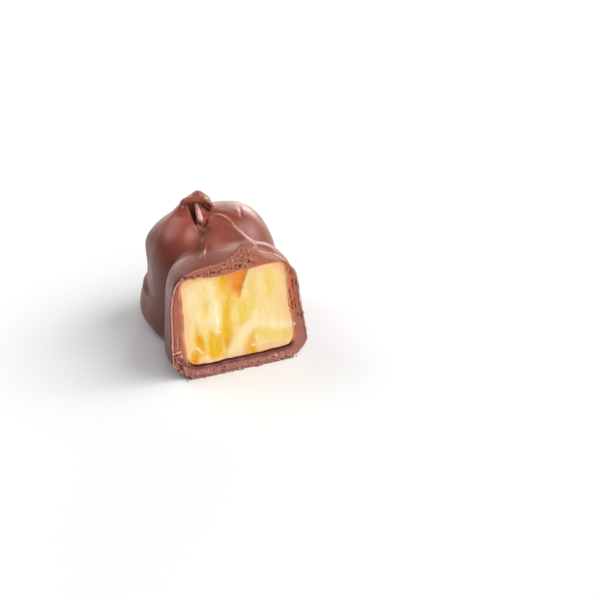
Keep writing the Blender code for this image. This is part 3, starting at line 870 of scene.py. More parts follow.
# How far the cream's face lies behind the cut plane, how far its lower edge is rounded, where its sides start, and how
# much shorter than the hollow they are
FACE_BACK, FACE_ROUNDING, SIDE_START, REAR_PLAY = 0.04, 0.15, 0.3, 0.1


def lifted(x, z, sizes):
    """The floor of the cream stands off the coat by the gap; the lift fades up the sides."""
    uneven = noise(on_plane(x, np.zeros_like(x)), 2.6, 61)
    return z + (sizes.gap_under_cream + GAP_UNEVEN * uneven) * ease(z, 6.5, 2.2)


def cream_points(sizes):
    """The cream as one grid. Rows run over the cut face from its middle to its edge, then back along the sides to the
    rear. The face lies a hair behind the cut plane, with a soft relief."""
    u = np.arange(CREAM_COLUMNS) / CREAM_COLUMNS
    edge_x, edge_z = hollow_section(u, CUT_Y)
    edge_x, edge_z = edge_x * CREAM_OVERLAP, lifted(edge_x, edge_z, sizes)
    share = np.linspace(0.01, 1, CREAM_FACE_ROWS)[:, None]
    x = share * edge_x
    z = CREAM_MIDDLE + share * (edge_z - CREAM_MIDDLE)
    from_edge = (1 - share) * np.hypot(edge_x, edge_z - CREAM_MIDDLE)
    relief, values = cream_relief(x, z, from_edge)
    rounding = FACE_ROUNDING * np.exp(-from_edge / FACE_ROUNDING) * ease(z, 5.0, 3.0)
    face = np.stack([x, CUT_Y + FACE_BACK - relief + rounding, z], -1)
    v = np.linspace(0, INNER_POLE, CREAM_SIDE_ROWS + 1)[1:]
    y = CUT_Y + SIDE_START + (CREAM.rear_end() - CUT_Y - SIDE_START - REAR_PLAY) * np.sin(v * np.pi / 2)
    u_grid, y_grid = np.meshgrid(u, y)
    side_x, side_z = hollow_section(u_grid, y_grid)
    sides = np.stack([side_x * CREAM_OVERLAP, y_grid, lifted(side_x, side_z, sizes)], -1)
    padding = ((0, CREAM_SIDE_ROWS), (0, 0))
    return np.concatenate([face, sides]), {key: np.pad(value, padding, mode="edge") for key, value in values.items()}


def cream_relief(x, z, from_edge):
    """How far the cream stands forward, and the numbers that its material reads for each tone of its marbling. Upright
    threads of noise break up the swathes."""
    place = on_plane(x, z)
    threads = layered_noise(place * (1, 0.28, 1), 0.7, 71)
    heights, left, right = np.array(AMBER_WEDGE).T
    bent = x + 0.15 * noise(place, 1.4, 78) + 0.06 * noise(place, 0.4, 79)
    wedge = ease(bent - np.interp(z, heights, left), -0.45, 0.5) * ease(np.interp(z, heights, right) - bent, -0.1, 0.15)
    wedge *= ease(z + 0.3 * (x - 0.8), 12.7, 13.8)

    def drawn(lines, soft):
        """A set of strokes, streaked by the threads."""
        swathes = np.clip(sum(stroke(x, z, line, soft) for line in lines), 0, 1)
        return np.clip(swathes * (0.85 + 0.35 * threads), 0, 1)

    patches = drawn(AMBER_STROKES, 1.3) * (0.65 + 0.25 * noise(place, 0.9, 80))
    # A tan tone along the cream's top edge and upper right side
    tan_edge = 0.3 * stroke(x, z, TAN_EDGE, 0.8)
    amber = np.clip(wedge * (0.95 + 0.12 * threads) + patches + tan_edge, 0, 1)
    gold, yellow, pale = drawn(GOLD_STROKES, 1.3), drawn(YELLOW_STROKES, 2.6), drawn(PALE_STROKES, 1.5)
    bright = np.clip(drawn(BRIGHT_STROKES, 0.2) + 0.5 * stroke(x, z, WHITE_STREAK, 1.1), 0, 1)
    peach = bell(from_edge, np.where(x > 0, 1.7, 1.2)) * (0.9 + 0.3 * noise(place, 1.5, 77))
    peach += stroke(x, z, FLOOR_PEACH, 0.5)
    height = 0.04 * noise(place, 1.9, 73) + 0.012 * layered_noise(place, 0.5, 75)
    height += 0.04 * pale + 0.08 * bright - 0.05 * amber - 0.02 * gold
    values = {
        "threads": 0.5 + 0.5 * threads, "peach": peach, "yellow": yellow, "gold": gold, "pale": pale, "amber": amber,
        "brown": stroke(x, z, AMBER_EDGE, 0.2), "bright": bright,
    }
    return height, {key: np.clip(value, 0, 1) for key, value in values.items()}


# Fork swirl

# The way in which a part is made deeper than it is high: to the rear
FORK_DEPTH = (0.15, 1.0, 0.1)


def tube_points(line, columns, rows, bumps, seed, deepen=1.0):
    """A tube along a line whose points are x, y, z and radius: a circle of that radius, carried along the line square
    to it, closing to a point at both ends, and moved along its normals by noise. Deepen stretches its depth."""
    path = smooth_line(line, rows)
    centre, radius = path[:, :3], path[:, 3]
    forward = np.gradient(centre, axis=0)
    forward /= np.linalg.norm(forward, axis=1, keepdims=True)
    side = np.cross(forward, FORK_DEPTH)
    side /= np.linalg.norm(side, axis=1, keepdims=True)
    other = np.cross(forward, side)
    length = lengths_along(centre)
    to_end = np.minimum(length, length[-1] - length)
    rounding = np.clip(to_end / np.maximum(radius, 1e-6), 0.02, 1)
    radius = radius * np.sqrt(1 - (1 - rounding) ** 2)
    turn = turns(columns)[None, :, None]
    circle = np.cos(turn) * side[:, None] + deepen * np.sin(turn) * other[:, None]
    points = centre[:, None] + radius[:, None, None] * circle
    rough = bumps * (noise(points, 0.9, seed) + 0.5 * noise(points, 0.4, seed + 1))
    return points + circle * (rough * np.clip(radius / 0.3, 0, 1)[:, None])[..., None]


# Each part of what the fork pulled up: its points as x, y, z and radius, how bumpy it is, and how deep for its height
FORK_PARTS = {
    "fork_lip": (
        (
            (-4.2, 4.9, 22.0, 0.3), (-3.95, 4.7, 22.55, 0.42), (-3.65, 4.5, 23.0, 0.46), (-3.2, 4.3, 23.35, 0.5),
            (-2.55, 4.1, 23.5, 0.52), (-1.7, 3.9, 23.5, 0.54), (-0.7, 3.6, 23.4, 0.52), (0.0, 3.3, 23.25, 0.48),
            (0.45, 3.0, 22.95, 0.42), (0.75, 2.8, 22.5, 0.36), (0.85, 2.7, 21.9, 0.3),
        ),
        0.05,
        1.6,
    ),
    "fork_cap": (
        (
            (-2.3, 4.8, 23.3, 0.35), (-1.75, 4.8, 23.75, 0.42), (-1.2, 4.9, 23.85, 0.5), (-0.7, 4.8, 23.85, 0.48),
            (-0.1, 4.6, 23.6, 0.45), (0.4, 4.3, 23.2, 0.42), (0.8, 3.8, 22.8, 0.36),
        ),
        0.12,
        1.5,
    ),
    "fork_stem": (
        (
            (-1.55, 4.0, 22.9, 0.36), (-1.58, 3.5, 22.5, 0.38), (-1.62, 2.9, 22.05, 0.41), (-1.66, 2.3, 21.6, 0.46),
            (-1.66, 1.7, 21.15, 0.5), (-1.58, 1.2, 20.75, 0.53), (-1.46, 0.8, 20.4, 0.44),
        ),
        0.04,
        1.2,
    ),
    "fork_web": (
        (
            (-1.0, 4.1, 23.0, 0.3), (-0.6, 3.9, 22.75, 0.45), (-0.1, 3.6, 22.5, 0.48), (0.35, 3.3, 22.2, 0.42),
            (0.6, 3.1, 21.8, 0.35), (0.6, 3.0, 21.3, 0.25),
        ),
        0.2,
        1.2,
    ),
}

# Folds of the lip that take a painted highlight as their colour, and the darker curls by the lip and at the foot of the
# stem
PAINTED_HIGHLIGHT_FOLDS = (
    ((-0.5, 3.2, 23.65, 0.1), (-0.05, 3.05, 23.55, 0.2), (0.3, 2.95, 23.2, 0.24), (0.4, 2.85, 22.95, 0.12)),
    ((0.2, 2.9, 23.15, 0.1), (0.65, 2.7, 22.95, 0.22), (0.95, 2.6, 22.6, 0.24), (0.95, 2.5, 22.35, 0.12)),
    ((-4.35, 4.5, 21.9, 0.1), (-4.0, 4.15, 22.25, 0.24), (-3.8, 4.05, 22.65, 0.26), (-3.5, 4.0, 22.95, 0.12)),
)
DARK_FOLDS = (
    ((-0.1, 3.0, 22.75, 0.1), (0.35, 2.75, 22.6, 0.18), (0.8, 2.55, 22.4, 0.2), (1.25, 2.45, 22.25, 0.12)),
    ((-0.4, 3.1, 22.35, 0.1), (0.1, 2.8, 22.25, 0.16), (0.55, 2.6, 22.05, 0.16), (0.9, 2.5, 21.9, 0.1)),
    (
        (-1.9, 1.3, 20.7, 0.1), (-1.75, 0.7, 20.35, 0.17), (-1.4, 0.5, 20.25, 0.17), (-1.1, 0.6, 20.45, 0.17),
        (-1.0, 0.9, 20.75, 0.15), (-0.7, 1.2, 20.9, 0.15), (-0.3, 1.5, 20.95, 0.1),
    ),
    ((-1.3, 1.4, 21.15, 0.08), (-1.15, 1.0, 20.95, 0.13), (-0.95, 0.9, 20.8, 0.1)),
)
FOLD_BUMPS = 0.04
# Where the seeds of the parts' and the folds' bumps begin
PART_SEED, FOLD_SEED = 80, 95


# Crumbs

# How many crumbs cling to the lower edge, lie on the table, and hang on the crest, as a share of all
EDGE_SHARE, TABLE_SHARE, FLANK_SHARE = 2 / 3, 1 / 8, 1 / 4
# Clumps of crumb on the cut: one crumb in how many, middle x, spread in x, middle z, spread in z; and how far forward
# they stand
CRUMB_CLUMPS = ((12, -10.1, 0.5, 3.0, 1.2), (9, 2.0, 1.0, 19.8, 0.7))
CLUMP_FORWARD = 0.03


def crumb_mesh(places, sizes_mm):
    """Many small crumbs in one mesh: the same small ball of quads, stretched, turned and dented anew for each. Gives
    the points (crumbs, points of one, 3) and two arrays of faces."""
    draw = np.random.default_rng(9)
    tilt = np.linspace(-np.pi / 2 + 0.35, np.pi / 2 - 0.35, CRUMB_ROWS)
    ball = np.concatenate([sphere_points(tilt, turns(CRUMB_COLUMNS)).reshape(-1, 3), [(0, 0, -1), (0, 0, 1)]])
    count = len(places)
    stretch = sizes_mm[:, None, None] * draw.uniform(0.7, 1.3, (count, 1, 3))
    dents = draw.uniform(0.45, 1.3, (count, len(ball), 1))
    points = ball[None] * dents * stretch
    turned = np.linalg.qr(draw.normal(size=(count, 3, 3)))[0]
    turned[np.linalg.det(turned) < 0] *= -1
    points = np.einsum("nij,nkj->nki", turned, points) + places[:, None]
    points[..., 2] = np.maximum(points[..., 2], 0)
    step = np.arange(count)[:, None, None] * len(ball)
    faces = [(group[None] + step).reshape(-1, group.shape[1]) for group in grid_faces(CRUMB_ROWS, CRUMB_COLUMNS)]
    return points, faces


def sphere_points(tilt, turn):
    """Points of a sphere of radius 1: rows at these angles above its waist, columns at these angles round it."""
    tilt = tilt[:, None]
    sides = (np.cos(tilt) * np.cos(turn), np.cos(tilt) * np.sin(turn), np.sin(tilt))
    return np.stack(np.broadcast_arrays(*sides), -1)


def crumb_places(sizes):
    """Where crumbs cling: along the lower edge of the cut, on the table in front, in clumps in the loose corner and
    under the crest, and bigger ones on the crest's torn left flank. Gives their places and sizes."""
    draw = np.random.default_rng(5)
    outer, inner, shares = cut_outlines(sizes)
    count = sizes.crumb_count
    low = np.flatnonzero((outer[:, 1] < 0.6) & (np.abs(outer[:, 0]) < 10.8))
    picked = draw.choice(low, int(count * EDGE_SHARE))
    share = draw.uniform(0, 0.5, len(picked)) ** 1.5
    x, z = (outer[picked] + share[:, None] * (inner[picked] - outer[picked])).T
    groups = [(x, CUT_Y - 0.4 * ease(z, 1.4, 0.1) - draw.uniform(-0.05, 0.1, len(x)), z)]
    fallen = int(count * TABLE_SHARE)
    x, forward = draw.uniform(-9.8, 9.4, fallen), np.minimum(draw.gamma(1.0, 0.18, fallen), 0.45)
    groups.append((x, CUT_Y - 0.3 - forward, np.zeros(fallen)))
    for part, middle_x, spread_x, middle_z, spread_z in CRUMB_CLUMPS:
        x, z = draw.normal(middle_x, spread_x, count // part), draw.normal(middle_z, spread_z, count // part)
        groups.append((x, np.full(count // part, CUT_Y - CLUMP_FORWARD), z))
    places = np.concatenate([np.column_stack(group) for group in groups])
    size = 0.05 + draw.gamma(2.0, 0.022, len(places)) * (1 - 0.5 * ease(places[:, 2], 15, 16))
    places[:, 2] = np.maximum(places[:, 2], size * 0.8)
    keep = inside(outer, places[:, 0], places[:, 2]) | (places[:, 2] < 0.4)
    flank = np.flatnonzero((outer[:, 1] > 19.3) & (outer[:, 0] > -1.0) & (outer[:, 0] < 3.3))
    picked = draw.choice(flank, int(count * FLANK_SHARE))
    back = draw.uniform(0, 1, len(picked)) ** 2.2
    torn = coat_surface(shares[picked], CUT_Y - 0.08 + 1.1 * back, sizes)
    torn_size = (0.07 + draw.gamma(2.0, 0.04, len(picked))) * (1 - 0.6 * back)
    return np.vstack([places[keep], torn]), np.append(size[keep], torn_size)


# Materials

# Sockets of a Mix node that is set to colour
MIX_FACTOR, MIX_A, MIX_B, MIX_RESULT = 0, 6, 7, 2

CHOCOLATE_IOR, CREAM_IOR = 1.46, 1.45

# Set chocolate: the colours of its skin, its clouds and its specks, and its least and most roughness
SET_FINISHES = {
    "set_milk_chocolate_satin": ("milk_chocolate", "milk_chocolate_deep", "milk_chocolate_bloom_and_painted_sheen", 0.33, 0.43),
    "set_milk_chocolate_glossy": ("swirl", "milk_chocolate", "milk_chocolate_bloom_and_painted_sheen", 0.18, 0.28),
    # The stem and the lip's pale folds are coloured pale pink all over: a painted highlight
    "stretched_milk_chocolate_glossy": ("painted_highlight", "swirl", "painted_highlight", 0.25, 0.35),
    # The cap is coloured all over with the greyer bloom tone: a painted sheen
    "bloomed_milk_chocolate_satin": ("milk_chocolate_bloom_and_painted_sheen", "swirl", "milk_chocolate_bloom_and_painted_sheen", 0.26, 0.36),
}

# What lies over each base tone where the mesh's number of that name says so: the most that shows, and the colour
# The skin's layers are painted light, a lighter and redder tone, and painted shade, a darker tone
SKIN_LAYERS = (("fresh", 1.0, "milk_chocolate_painted_light"), ("dull", 1.0, "milk_chocolate_painted_shade"))
# The pores, the brown pits and the gap under the cream are painted shade, and the rim is partly a painted highlight
CUT_LAYERS = (
    ("mauve", 0.85, "cut_mauve"), ("orange", 0.8, "cut_orange"), ("smear", 0.9, "cream_smear"),
    ("crumb", 0.65, "crumb"), ("rim", 0.8, "rim"), ("brown", 0.85, "cut_pit_shade"), ("maroon", 0.9, "cut_painted_gap_shade"),
    ("pore", 0.9, "pore"),
)
CREAM_LAYERS = (
    ("threads", 0.12, "cream_yellow"), ("peach", 0.9, "cream_peach"), ("yellow", 0.75, "cream_yellow"),
    ("gold", 0.95, "cream_gold"), ("pale", 0.8, "cream_pale"), ("amber", 0.95, "amber"), ("brown", 0.5, "amber_deep"),
    ("bright", 0.9, "cream_bright"),
)


def from_hex(text):
    """An sRGB hex colour as linear red, green and blue."""
    channels = np.array([int(text[i : i + 2], 16) for i in (1, 3, 5)]) / 255
    linear = np.where(channels <= 0.04045, channels / 12.92, ((channels + 0.055) / 1.055) ** 2.4)
    return tuple(float(channel) for channel in linear)


def set_inputs(tree, node, inputs):
    """Sets a node's inputs. Each takes a value, or an output socket of another node, which is linked."""
    for key, value in inputs.items():
        if isinstance(value, bpy.types.NodeSocket):
            tree.links.new(value, node.inputs[key])
        else:
            node.inputs[key].default_value = value


def add_node(tree, kind, inputs=None, **settings):
    """Adds a node with its settings and its inputs' values and links."""
    made = tree.nodes.new(kind)
    for key, value in settings.items():
        setattr(made, key, value)
    set_inputs(tree, made, inputs or {})
    return made


def new_material(name):
    """An empty material with a Principled shader: its node tree, shader and Object coordinates."""
    made = bpy.data.materials.new(name)
    made.use_nodes = True
    tree = made.node_tree
    coordinates = add_node(tree, "ShaderNodeTexCoord").outputs["Object"]
    return made, tree, tree.nodes["Principled BSDF"], coordinates


def noise_inputs(coordinates, size_mm, detail=2.0, roughness=0.5):
    """Inputs for a Noise Texture node whose features are about that many millimetres."""
    return {"Vector": coordinates, "Scale": 1 / (size_mm * MM), "Detail": detail, "Roughness": roughness}


def range_inputs(value, low, high, least=0.0, most=1.0):
    """Inputs for a Map Range node that turns a value between low and high into one between least and most."""
    return {"Value": value, "From Min": low, "From Max": high, "To Min": least, "To Max": most}


def layered(tree, under, over, share, low=0.0, high=1.0, most=1.0):
    """A colour under another, which shows from not at all where the share is low to the most where it is high."""
    shown = add_node(tree, "ShaderNodeMapRange", range_inputs(share, low, high, 0.0, most)).outputs["Result"]
    under, over = (tone if isinstance(tone, bpy.types.NodeSocket) else (*tone, 1) for tone in (under, over))
    inputs = {MIX_FACTOR: shown, MIX_A: under, MIX_B: over}
    return add_node(tree, "ShaderNodeMix", inputs, data_type="RGBA").outputs[MIX_RESULT]


def mottled(tree, under, over, texture, low, high, most=1.0):
    """A colour with clouds of another over it, where noise with these inputs is high."""
    clouds = add_node(tree, "ShaderNodeTexNoise", texture).outputs["Fac"]
    return layered(tree, under, over, clouds, low, high, most)


def painted(tree, under, colours, layers):
    """A colour with others over it in turn, each where the piece's mesh says, through a number at each point."""
    for key, most, over in layers:
        share = add_node(tree, "ShaderNodeAttribute", attribute_name=key).outputs["Fac"]
        under = layered(tree, under, getattr(colours, over), share, most=most)
    return under


def grained(tree, texture, height_mm):
    """The normal of a surface that noise with these inputs roughens by that height."""
    grain = add_node(tree, "ShaderNodeTexNoise", texture).outputs["Fac"]
    return add_node(tree, "ShaderNodeBump", {"Height": grain, "Distance": height_mm * MM}).outputs["Normal"]


def set_chocolate(name, colours):
    """Tempered milk chocolate, hand-dipped and left to set, with a skin as rough as its finish says, so the lamps draw
    soft lights on it. Clouds of 4 mm and specks of 1 mm stand for cocoa butter that set unevenly, and over them lie
    painted light, a lighter and redder tone, and painted shade, a darker tone, where the mesh marks them. Some finishes
    take a painted highlight or a painted sheen as their skin tone."""
    made, tree, shader, coordinates = new_material(name)
    skin, clouds, specks, least_rough, most_rough = SET_FINISHES[name]
    tone, clouds, specks = (getattr(colours, key) for key in (skin, clouds, specks))
    tone = mottled(tree, tone, clouds, noise_inputs(coordinates, 4.0, 3.0), 0.35, 0.65)
    tone = mottled(tree, tone, specks, noise_inputs(coordinates, 1.0, 4.0, 0.6), 0.4, 0.75, 0.35)
    patches = add_node(tree, "ShaderNodeTexNoise", noise_inputs(coordinates, 2.2, 3.0)).outputs["Fac"]
    inputs = range_inputs(patches, 0.3, 0.7, least_rough, most_rough)
    set_inputs(tree, shader, {
        "Base Color": painted(tree, tone, colours, SKIN_LAYERS),
        "Roughness": add_node(tree, "ShaderNodeMapRange", inputs).outputs["Result"],
        "IOR": CHOCOLATE_IOR,
        "Normal": grained(tree, noise_inputs(coordinates, 0.5, 3.0), 0.008),
    })
    return made


def cut_chocolate(colours):
    """Milk chocolate that a knife has broken open: dull, paler and redder than the skin, with dark pores. The grain is
    the fat and sugar crumb, whose 0.03 mm are drawn as 0.25 mm so that they show, and it takes a warm smear where the
    blade dragged cream over it."""
    made, tree, shader, coordinates = new_material("cut_milk_chocolate_dull")
    grain = noise_inputs(coordinates, 0.25, 4.0, 0.65)
    tone = mottled(tree, colours.cut_chocolate_deep, colours.cut_chocolate, grain, 0.3, 0.7)
    tone = mottled(tree, tone, colours.cut_chocolate_deep, noise_inputs(coordinates, 1.6), 0.4, 0.7, 0.5)
    set_inputs(tree, shader, {
        "Base Color": painted(tree, tone, colours, CUT_LAYERS),
        "Roughness": 0.55,
        "IOR": CHOCOLATE_IOR,
        "Normal": grained(tree, noise_inputs(coordinates, 0.2, 4.0, 0.7), 0.06),
    })
    return made


def soft_cream(colours):
    """Soft egg-yellow fondant cream, sliced: moist and slightly see-through, so light goes a little way in. Its tones
    are marbled in swathes drawn on the mesh, with 3 mm clouds between them; the amber is syrup that stayed apart."""
    made, tree, shader, coordinates = new_material("fondant_cream_moist")
    clouds = noise_inputs(coordinates, 3.0, 3.0, 0.55)
    tone = mottled(tree, colours.cream, colours.cream_yellow, clouds, 0.35, 0.65, 0.15)
    set_inputs(tree, shader, {
        "Base Color": painted(tree, tone, colours, CREAM_LAYERS),
        "Roughness": 0.5,
        "IOR": CREAM_IOR,
        "Specular IOR Level": 0.15,
        "Subsurface Weight": 0.15,
        "Subsurface Scale": 1.0 * MM,
        "Subsurface Radius": (1.0, 0.7, 0.35),
        "Normal": grained(tree, noise_inputs(coordinates, 0.6, 3.0), 0.03),
    })
    return made


def matt_board(colours):
    """White photographic card with a matt face, which takes a soft shadow and shows no gloss. Its tooth is
    finer than the 1 mm that it is drawn at to show."""
    made, tree, shader, coordinates = new_material("white_card_matt")
    set_inputs(tree, shader, {
        "Base Color": (*colours.card, 1),
        "Roughness": 0.95,
        "Specular IOR Level": 0.1,
        "Normal": grained(tree, noise_inputs(coordinates, 1.0), 0.01),
    })
    return made


def lit_paper(colours):
    """White background paper with its own lamps on it, so that it shows as plain even white behind the table."""
    made, tree, shader, _ = new_material("background_paper_lit")
    set_inputs(tree, shader, {
        "Base Color": (*colours.card, 1),
        "Roughness": 1.0,
        "Emission Color": (1, 1, 1, 1),
        "Emission Strength": 1.0,
    })
    return made


# Settings


def length(name, description, default):
    """A length's setting. It is a plain number of millimetres, because Blender would show its own unit as metres."""
    return bpy.props.FloatProperty(name=name, description=description, default=default, min=0, max=5, precision=3)


def colour(name, description, text):
    """A colour's setting, given as hex and kept as linear red, green and blue."""
    return bpy.props.FloatVectorProperty(
        name=name, description=description, subtype="COLOR", size=3, min=0, max=1, default=from_hex(text)
    )


def strength(name, description, default):
    """The setting of a light's strength."""
    return bpy.props.FloatProperty(name=name, description=description, default=default, min=0)


class ChocolateSizes(bpy.types.PropertyGroup):
    """Heights and depths of the chocolate's small forms, in millimetres."""

    wave_height: length("Dipping waves", "Height of the low waves in the skin, in mm", 0.09)
    rim_height: length("Sheet rim", "Height of the raised rim round the sheet over the crease, in mm", 0.3)
    ripple_height: length("Ripples", "Height of the ripples behind the sheet's rim, in mm", 0.045)
    pore_depth: length("Pore depth", "Depth of the pores in the cut chocolate, in mm", 0.4)
    crack_depth: length("Crack depth", "Depth of the cracks in the cut chocolate, in mm", 0.16)
    gap_under_cream: length("Gap under the cream", "How far the cream stands off the hollow's floor, in mm", 0.08)
    crumb_count: bpy.props.IntProperty(
        name="Crumbs", description="How many crumbs cling to the cut", default=700, min=0, max=3000
    )


class ChocolateColours(bpy.types.PropertyGroup):
    """Colours of the chocolate and its cream."""

    milk_chocolate: colour("Milk chocolate", "The skin of the coating", "#8B4737")
    milk_chocolate_deep: colour("Deep milk chocolate", "Darker clouds in the skin", "#76392B")
    # Bloom specks in the skin, and also the cap's whole colour, where it is a painted sheen
    milk_chocolate_bloom_and_painted_sheen: colour("Bloom", "Paler, greyer specks in the skin", "#905C4E")
    # Painted light: the lighter, redder tone on the sheet and up the left slope to the swirl
    milk_chocolate_painted_light: colour("Fresh milk chocolate", "Where the skin set thin and red", "#AC503E")
    # Painted shade: the darker tone on the rear lobe's left side
    milk_chocolate_painted_shade: colour("Dull milk chocolate", "Where the skin set dull and dark", "#652F27")
    swirl: colour("Swirl", "What the fork pulled up", "#97513F")
    # Painted highlight: the pale pink of the stem and of the lip's pale folds
    painted_highlight: colour("Stretched chocolate", "The swirl where it was stretched pale", "#F2BCB0")
    cut_chocolate: colour("Cut chocolate", "The coating where the knife went through", "#B86B50")
    cut_chocolate_deep: colour("Deep cut chocolate", "Darker grain of the cut coating", "#A05A46")
    cut_mauve: colour("Dense chocolate", "The pinker chocolate low down in the cut", "#A06A62")
    cut_orange: colour("Orange chocolate", "The crumbly band beside the cream", "#CC6636")
    # Painted shade: the dark brown inside the small pits beside the cream
    cut_pit_shade: colour("Brown pits", "Inside of the small pits beside the cream", "#7A2E10")
    # Painted shade: the dark tone in the gap under the cream
    cut_painted_gap_shade: colour("Under the cream", "The dark chocolate in the gap under the cream", "#6A2F33")
    cream_smear: colour("Cream smear", "Chocolate next to the cream", "#E2A066")
    crumb: colour("Crumb", "Loose crumb in the cut", "#C88E84")
    # Partly the pale chocolate of the pulled-up edge, partly a painted highlight on raised edges and lumps
    rim: colour("Rim", "The thin edge that the knife pulled up", "#EBC4B2")
    pore: colour("Pore", "Inside of pores and cracks", "#4A1710")
    # Painted shade: the near-black inside pores and cracks
    cream: colour("Cream", "Main tone of the filling", "#F8DDA0")
    cream_peach: colour("Peach cream", "The filling next to the chocolate", "#F8C694")
    cream_yellow: colour("Yellow cream", "Yellower clouds in the filling", "#F1CB45")
    cream_gold: colour("Gold cream", "Golden bands in the filling", "#EDB61A")
    cream_pale: colour("Pale cream", "Whitish streaks in the filling", "#FAEABC")
    cream_bright: colour("Bright cream", "Small bright flecks in the filling", "#FFF8D8")
    amber: colour("Amber", "Syrup patches in the filling", "#EC840A")
    amber_deep: colour("Deep amber", "The darker edge of the syrup", "#A85812")
    card: colour("Card", "The table", "#EBECED")


class ChocolateLight(bpy.types.PropertyGroup):
    """Strength of the stage's light."""

    key: strength("Key light", "The lamp high on the right", 2.35)
    side: strength("Side light", "The lamp lower on the right", 0.95)
    fill: strength("Fill light", "The lamp beside the camera", 0.9)
    back_left: strength("Rear left light", "The lamp behind on the left, which lights the rear shoulder", 0.95)
    back_right: strength("Rear right light", "The low lamp behind on the right, which lights the far edge", 0.55)
    window: strength("Window", "The small bright window overhead, which draws the highlights", 0.4)
    horizon: strength("Horizon", "The bright band low down behind the chocolate", 3.8)
    sky: strength("Room", "The faint light from all round", 0.03)
    horizon_colour: colour("Horizon colour", "Tint of the light from the room and the horizon", "#FFF6EE")


# Operators


class CHOCOLATE_OT_coating(bpy.types.Operator):
    """Builds the dipped coating with its lobes, the sheet over the crease, and the hollow for the cream"""

    bl_idname = "chocolate.coating"
    bl_label = "Coating"

    def execute(self, context):
        points = coating_points(context.scene.chocolate_sizes)
        shell = grid_piece("coating_shell", points, values=skin_values(points))
        satin = set_chocolate("set_milk_chocolate_satin", context.scene.chocolate_colours)
        finish_piece(shell, satin, "coating")
        return {"FINISHED"}


class CHOCOLATE_OT_cut_face(bpy.types.Operator):
    """Builds the broken edge of the coating at the cut, with pores, cracks, ledge and rim"""

    bl_idname = "chocolate.cut_face"
    bl_label = "Cut face"

    def execute(self, context):
        points, values = cut_face_points(context.scene.chocolate_sizes)
        ring = grid_piece("cut_face", points, wrap_rows=True, values=values)
        finish_piece(ring, cut_chocolate(context.scene.chocolate_colours))
        return {"FINISHED"}


class CHOCOLATE_OT_crumbs(bpy.types.Operator):
    """Scatters crumbs along the lower edge of the cut, on the table in front and on the crest"""

    bl_idname = "chocolate.crumbs"
    bl_label = "Crumbs"

    def execute(self, context):
        points, faces = crumb_mesh(*crumb_places(context.scene.chocolate_sizes))
        crumbs = mesh_piece("cut_crumbs", points.reshape(-1, 3), *faces)
        own = np.repeat(np.random.default_rng(3).uniform(0, 1, len(points)), points.shape[1])
        add_value(crumbs, "crumb", 0.3 + own)
        add_value(crumbs, "rim", (own > 0.85) * 0.6)
        finish_piece(crumbs, bpy.data.materials["cut_milk_chocolate_dull"])
        return {"FINISHED"}


class CHOCOLATE_OT_fork_swirl(bpy.types.Operator):
    """Builds what the dipping fork pulled up on top: lip, cap, stem, web and folds"""

    bl_idname = "chocolate.fork_swirl"
    bl_label = "Fork swirl"

    def execute(self, context):
        names = ("set_milk_chocolate_glossy", "stretched_milk_chocolate_glossy", "bloomed_milk_chocolate_satin")
        glossy, painted_highlight, painted_sheen = (set_chocolate(name, context.scene.chocolate_colours) for name in names)
        # The stem takes the painted highlight as its colour, and the cap a painted sheen
        finishes = {"fork_stem": painted_highlight, "fork_cap": painted_sheen}
        for n, (name, (line, bumps, deepen)) in enumerate(FORK_PARTS.items()):
            points = tube_points(line, PART_COLUMNS, PART_ROWS, bumps, PART_SEED + 2 * n, deepen)
            finish_piece(grid_piece(name, points), finishes.get(name, glossy))
        # The pale folds take the painted highlight as their colour, and the darker curls the glossy skin
        for n, line in enumerate(PAINTED_HIGHLIGHT_FOLDS + DARK_FOLDS):
            points = tube_points(line, FOLD_COLUMNS, FOLD_ROWS, FOLD_BUMPS, FOLD_SEED + n)
            finish = painted_highlight if line in PAINTED_HIGHLIGHT_FOLDS else glossy
            finish_piece(grid_piece(f"fork_fold_{n}", points), finish)
        return {"FINISHED"}


class CHOCOLATE_OT_cream(bpy.types.Operator):
    """Builds the marbled cream filling"""

    bl_idname = "chocolate.cream"
    bl_label = "Cream filling"

    def execute(self, context):
        points, values = cream_points(context.scene.chocolate_sizes)
        cream = grid_piece("cream", points, values=values)
        finish_piece(cream, soft_cream(context.scene.chocolate_colours), "cream_filling")
        return {"FINISHED"}


# Stage

# The camera: bearing and height above the table in degrees, roll, lens and sensor in mm, and the point of the cut's
# foot with where it stands in the picture, in pixels of a 600 by 600 frame
CAMERA_BEARING, CAMERA_HEIGHT, CAMERA_ROLL = 13.7, 30.0, 5.0
CAMERA_LENS, CAMERA_SENSOR = 70.0, 36.0
PICTURE_SIDE = 600
PIXELS_PER_MM = 6.0
AIM_POINT, AIM_PIXEL = (0.0, CUT_Y, 0.0), (243.5, 367.0)
# What the camera sees, in metres from it
CLIP_NEAR, CLIP_FAR = 0.005, 10.0

# Half the table's side and how far it lies under the chocolate; the backdrop's radius, and the heights in degrees at
# which its rings begin and end
TABLE_HALF, TABLE_DROP = 2000.0, 0.01
BACKDROP_RADIUS, BACKDROP_FOOT, BACKDROP_CROWN = 1800.0, -10.0, 88.0
BACKDROP_COLUMNS, BACKDROP_ROWS = 64, 24

# Lamps: where each stands, in mm, and how wide it appears from the chocolate, in degrees
LAMPS = {
    "key": ((100, -45, 115), 45),
    "side": ((140, 0, 80), 40),
    "fill": ((60, -150, 80), 50),
    "back_left": ((-68, 68, 115), 35),
    "back_right": ((75, 122, 36), 26),
    "window": ((20, -50, 170), 14),
}
LAMP_TARGET = (0, 0, 10)

# The bright band behind: its bearing in degrees, and between which shares it fades in towards that bearing and out
# with height
HORIZON_BEARING = 15.0
HORIZON_SIDES, HORIZON_TOP = (0.65, 0.95), (0.4, 0.2)


